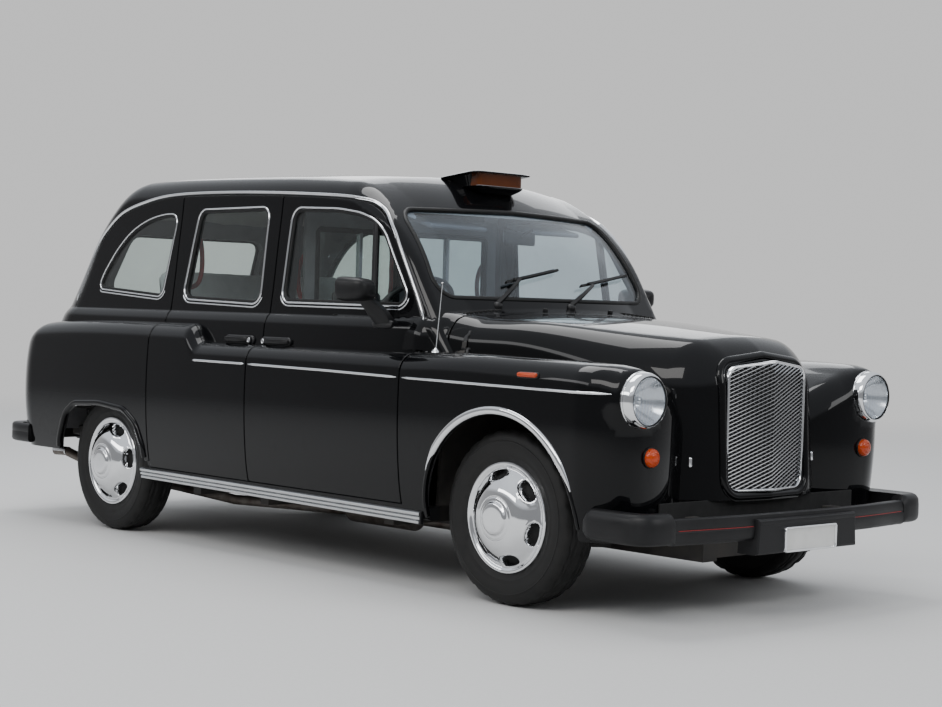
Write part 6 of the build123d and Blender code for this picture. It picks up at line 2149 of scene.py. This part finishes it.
def inner(node, body, outer, inside, depth=.0150, replace=False, split=True, again=True):
    src = NODES[node].data
    n = len(src.vertices)
    P = np.empty(n * 3, np.float32)
    src.vertices.foreach_get("co", P)
    P = P.reshape(-1, 3).astype(float)
    src.calc_loop_triangles()
    T = np.empty(len(src.loop_triangles) * 3, np.int32)
    src.loop_triangles.foreach_get("vertices", T)
    T = T.reshape(-1, 3).astype(int)
    # merge the points of neighbouring faces, then divide long triangles
    grid = 20000.0 if again else 400.0
    key, inv = np.unique(np.round(P * grid).astype(np.int64), axis=0, return_inverse=True)
    P, T = key / grid, inv.reshape(-1)[T]
    T = T[(T[:, 0] != T[:, 1]) & (T[:, 1] != T[:, 2]) & (T[:, 0] != T[:, 2])]
    for _ in range(6):
        P, T = refine(P, T, None, None, 0, .085 if again else .25)
    for turn_ in range(4):
        for _ in range(8):
            v = at(f_all, P)
            m = v > -depth
            if not m.any():
                break
            g_ = grad(f_all, P[m])
            P[m] -= g_ * np.clip((v[m] + depth), 0, .02)[:, None] / np.maximum((g_ ** 2).sum(1), .2)[:, None]
        # divide further where a triangle still bridges a hollow
        A3 = np.stack([(P[T[:, i]] + P[T[:, (i + 1) % 3]]) / 2 for i in range(3)] + [P[T].mean(1)])
        high = (at(f_all, A3) > -.005).any(0)
        if turn_ == 3 or not high.any() or not again:
            break
        near = np.zeros(len(P), bool)
        near[T[high].ravel()] = True
        P, T = refine(P, T, None, lambda Q: np.where(near, 0.0, 1.0), .5, .016)
    c = P[T].mean(1)
    nn = unit(np.cross(P[T[:, 1]] - P[T[:, 0]], P[T[:, 2]] - P[T[:, 0]]))
    deep = at(f_all, c + nn * .04) < at(f_all, c) - .015
    o = mesh_object("inner_" + node, P, T, None, [outer, inside], body, [node] if replace else [], deep.astype(int) if split else None)
    o.data.set_sharp_from_angle(angle=math.radians(32))
    return o


inner("body_sides", "root", PAINT_IN, LINER, .0170, True)
inner("roof_panel", "root", HEADLINE, HEADLINE, .018, False, False, False)
for sd in ("left", "right"):
    inner("front_door_" + sd, "front_door_" + sd, PAINT_IN, TRIMBOARD)
    inner("rear_door_" + sd, "rear_door_" + sd, PAINT_IN, TRIMBOARD)
inner("front_wings", "root", PAINT_IN, UNDER)
inner("rear_wings", "root", PAINT_IN, UNDER)
inner("tail_panel", "root", PAINT_IN, LINER)
inner("boot_lid", "boot_lid", PAINT_IN, LINER)
inner("bonnet", "bonnet", PAINT_IN, PAINT_IN)
inner("scuttle", "root", PAINT_IN, UNDER)
inner("bulkhead", "root", UNDER, UNDER, .02, True)


def dress(mat_, *names):
    for n_ in names:
        o = NODES[n_]
        o.data.materials.clear()
        o.data.materials.append(mat_)


ENGINE = varied("engine_block_grey", (.045, .046, .048), (.11, .11, .112), 13, (.45, .7), .55, bump_scale=160, bump_strength=.3, bump_dist=.0012)
RUSTY = varied("exhaust_steel", (.10, .075, .060), (.26, .24, .22), 17, (.45, .7), .7, bump_scale=220, bump_strength=.25, bump_dist=.0008)
AXLE = varied("axle_black", (.012, .012, .012), (.040, .038, .036), 15, (.5, .75), bump_scale=180, bump_strength=.25, bump_dist=.001)
RADI = make_metal("radiator_core", (.03, .03, .032), (.10, .10, .105), (.45, .65), 60, (1, 1, 12), 400, .3)
WHEEL_BLACK = varied("steering_wheel_grain", (.010, .010, .011), (.020, .020, .021), 30, (.42, .56), bump_scale=1100, bump_strength=.35, bump_dist=.0004)


def make_floor():
    """Carpet on what faces up, painted metal on what faces down."""
    m, nt, b = mat("floor_carpet_and_metal", (.03, .03, .03), .9)
    ge = nt.nodes.new("ShaderNodeTexCoord")
    sp = nt.nodes.new("ShaderNodeSeparateXYZ")
    nt.links.new(ge.outputs["Normal"], sp.inputs[0])
    up = maprange(nt, sp.outputs["Z"], .3, .5, 0, 1)
    under = ramp(nt, noise(nt, 11, 5, .6), [(.3, (.018, .017, .016)), (.7, (.050, .046, .042))])
    pile = ramp(nt, noise(nt, 300, 3, .7), [(.3, (.012, .012, .013)), (.7, (.040, .040, .042))])
    nt.links.new(mixc(nt, up, under, pile), b.inputs["Base Color"])
    nt.links.new(maprange(nt, up, 0, 1, .72, .95), b.inputs["Roughness"])
    bump(nt, b, noise(nt, 420, 3, .6), .5, .0012)
    return m


FLOOR_TWO = make_floor()
dress(FLOOR_TWO, "floor_pan", "rear_floor")
dress(UNDER, "chassis_rails", "cross_members")
dress(ENGINE, "engine_block", "driveline")
dress(AXLE, "rear_axle", "front_suspension", "knuckle_left", "knuckle_right", "steering_column", "fuel_tank")
dress(RUSTY, "exhaust")
dress(RADI, "radiator")
dress(LINER, "partition")

# steering wheel: rim, three spokes, padded boss
g = Group()
ln_ = math.radians(38)
ax_ = np.array([math.cos(ln_), 0, -math.sin(ln_)])
c_w = np.array([.470, -.375, 1.020]) - ax_ * .120
e1_, e2_ = np.array([0, 1.0, 0]), np.array([math.sin(ln_), 0, math.cos(ln_)])
t_ = np.linspace(0, 2 * PI, 72, endpoint=False)
g.add(*tube(c_w + .211 * (np.cos(t_)[:, None] * e1_ + np.sin(t_)[:, None] * e2_), .0135, 12, closed=True), WHEEL_BLACK)
for an_ in (85, 205, 325):
    d_ = math.cos(math.radians(an_)) * e1_ + math.sin(math.radians(an_)) * e2_
    g.add(*tube(np.array([c_w + ax_ * .020 + d_ * .030, c_w + ax_ * .018 + d_ * .110, c_w + d_ * .207]), .0105, 10), WHEEL_BLACK)
g.add(*lathe_at([(.030, -.045), (.056, -.030), (.064, -.010), (.062, .004), (.050, .014), (.025, .019), (.001, .020)], c_w, -ax_, 48), WHEEL_BLACK)
g.add(*lathe_at([(.021, -.200), (.021, -.030)], c_w, -ax_, 28), WHEEL_BLACK)
g.make("steering_wheel_trimmed", "steering_wheel", ["steering_wheel"], 45)

# ======================================================================
# Floor, light and camera
# ======================================================================


def stage():
    P, F = [], []
    n = 40
    for i in range(n + 1):
        for j in range(n + 1):
            P.append((-26 + 52 * i / n, -26 + 52 * j / n, 0))
    fl = bpy.data.meshes.new("floor")
    fl.from_pydata(P, [], grid_faces(n + 1, n + 1).tolist())
    m, nt, b = mat("floor_pale", (.60, .60, .59), .85)
    f = noise(nt, 60, 3, .5)
    nt.links.new(ramp(nt, f, [(.3, (.585, .583, .575)), (.7, (.605, .603, .595))]), b.inputs["Base Color"])
    # far from the car the floor thins out into the backdrop
    ln = nt.nodes.new("ShaderNodeVectorMath")
    ln.operation = "LENGTH"
    nt.links.new(coords(nt), ln.inputs[0])
    tr = nt.nodes.new("ShaderNodeBsdfTransparent")
    mx = nt.nodes.new("ShaderNodeMixShader")
    mr = maprange(nt, ln.outputs["Value"], 4.6, 15.0, 0, 1)
    mr.node.interpolation_type = "SMOOTHSTEP"
    nt.links.new(mr, mx.inputs[0])
    nt.links.new(b.outputs[0], mx.inputs[1])
    nt.links.new(tr.outputs[0], mx.inputs[2])
    nt.links.new(mx.outputs[0], nt.nodes["Material Output"].inputs[0])
    fl.materials.append(m)
    o = bpy.data.objects.new("floor", fl)
    SC.collection.objects.link(o)

    w = bpy.data.worlds.new("studio")
    SC.world = w
    w.use_nodes = True
    nt = w.node_tree
    bg = nt.nodes["Background"]
    tc = nt.nodes.new("ShaderNodeTexCoord")
    sp = nt.nodes.new("ShaderNodeSeparateXYZ")
    nt.links.new(tc.outputs["Generated"], sp.inputs[0])
    # pale behind the car, dim on the camera's side near the horizon, bright overhead
    dt = nt.nodes.new("ShaderNodeVectorMath")
    dt.operation = "DOT_PRODUCT"
    dt.inputs[1].default_value = (.735, -.678, 0)
    nt.links.new(tc.outputs["Generated"], dt.inputs[0])
    side = ramp(nt, maprange(nt, dt.outputs["Value"], -1, 1, 0, 1), [(0, (.80, .80, .80)), (.10, (.78, .78, .785)), (.26, (.40, .40, .41)), (.60, (.30, .305, .315)), (1, (.30, .305, .315))])
    sky = ramp(nt, maprange(nt, sp.outputs["Z"], -.1, 1.0, 0, 1), [(0, (0, 0, 0)), (.32, (0, 0, 0)), (.44, (.80, .80, .80)), (1, (1, 1, 1))])
    nt.links.new(mixc(nt, sky, side, (.92, .96, 1.02)), bg.inputs["Color"])
    bg.inputs["Strength"].default_value = .95

    def area(name, loc, target, size, power, col=(1, 1, 1)):
        l = bpy.data.lights.new(name, "AREA")
        l.shape = "RECTANGLE"
        l.size, l.size_y = size
        l.energy = power
        l.color = col
        q = bpy.data.objects.new(name, l)
        q.location = loc
        d = Vector(target) - Vector(loc)
        q.rotation_euler = d.to_track_quat("-Z", "Y").to_euler()
        SC.collection.objects.link(q)

    area("key", (4.5, -7.5, 7.5), (.3, -.3, .7), (6.0, 3.2), 420, (1, .985, .96))
    area("top", (-1.2, 0, 7.0), (-.6, 0, 0), (4.4, 3.0), 250)
    area("rim", (-6.0, 6.0, 5.5), (0, 0, .8), (7, 4.5), 170, (.96, .98, 1))
    area("front", (9.5, 2.5, 4.2), (1.5, 0, .7), (4, 2.0), 125)
    area("side", (-2.5, -9.0, 5.0), (-.4, 0, .8), (8, 1.6), 170)


stage()

cam_data = bpy.data.cameras.new("camera")
cam = bpy.data.objects.new("camera", cam_data)
SC.collection.objects.link(cam)
yaw, pitch, roll = 2.3961, -.0231, .0278
fwd = Vector((math.cos(yaw) * math.cos(pitch), math.sin(yaw) * math.cos(pitch), math.sin(pitch)))
right0 = Vector((math.sin(yaw), -math.cos(yaw), 0))
up0 = right0.cross(fwd)
cx = right0 * math.cos(roll) + up0 * math.sin(roll)
cy = -right0 * math.sin(roll) + up0 * math.cos(roll)
M = Matrix((cx, cy, -fwd)).transposed().to_4x4()
M.translation = Vector((6.5738, -5.744, 1.1286))
cam.matrix_world = M
cam_data.sensor_width = 36
cam_data.lens = 36 * 1866.18 / 942
cam_data.shift_x = .0023
cam_data.shift_y = .0003
cam_data.clip_end = 200
SC.camera = cam
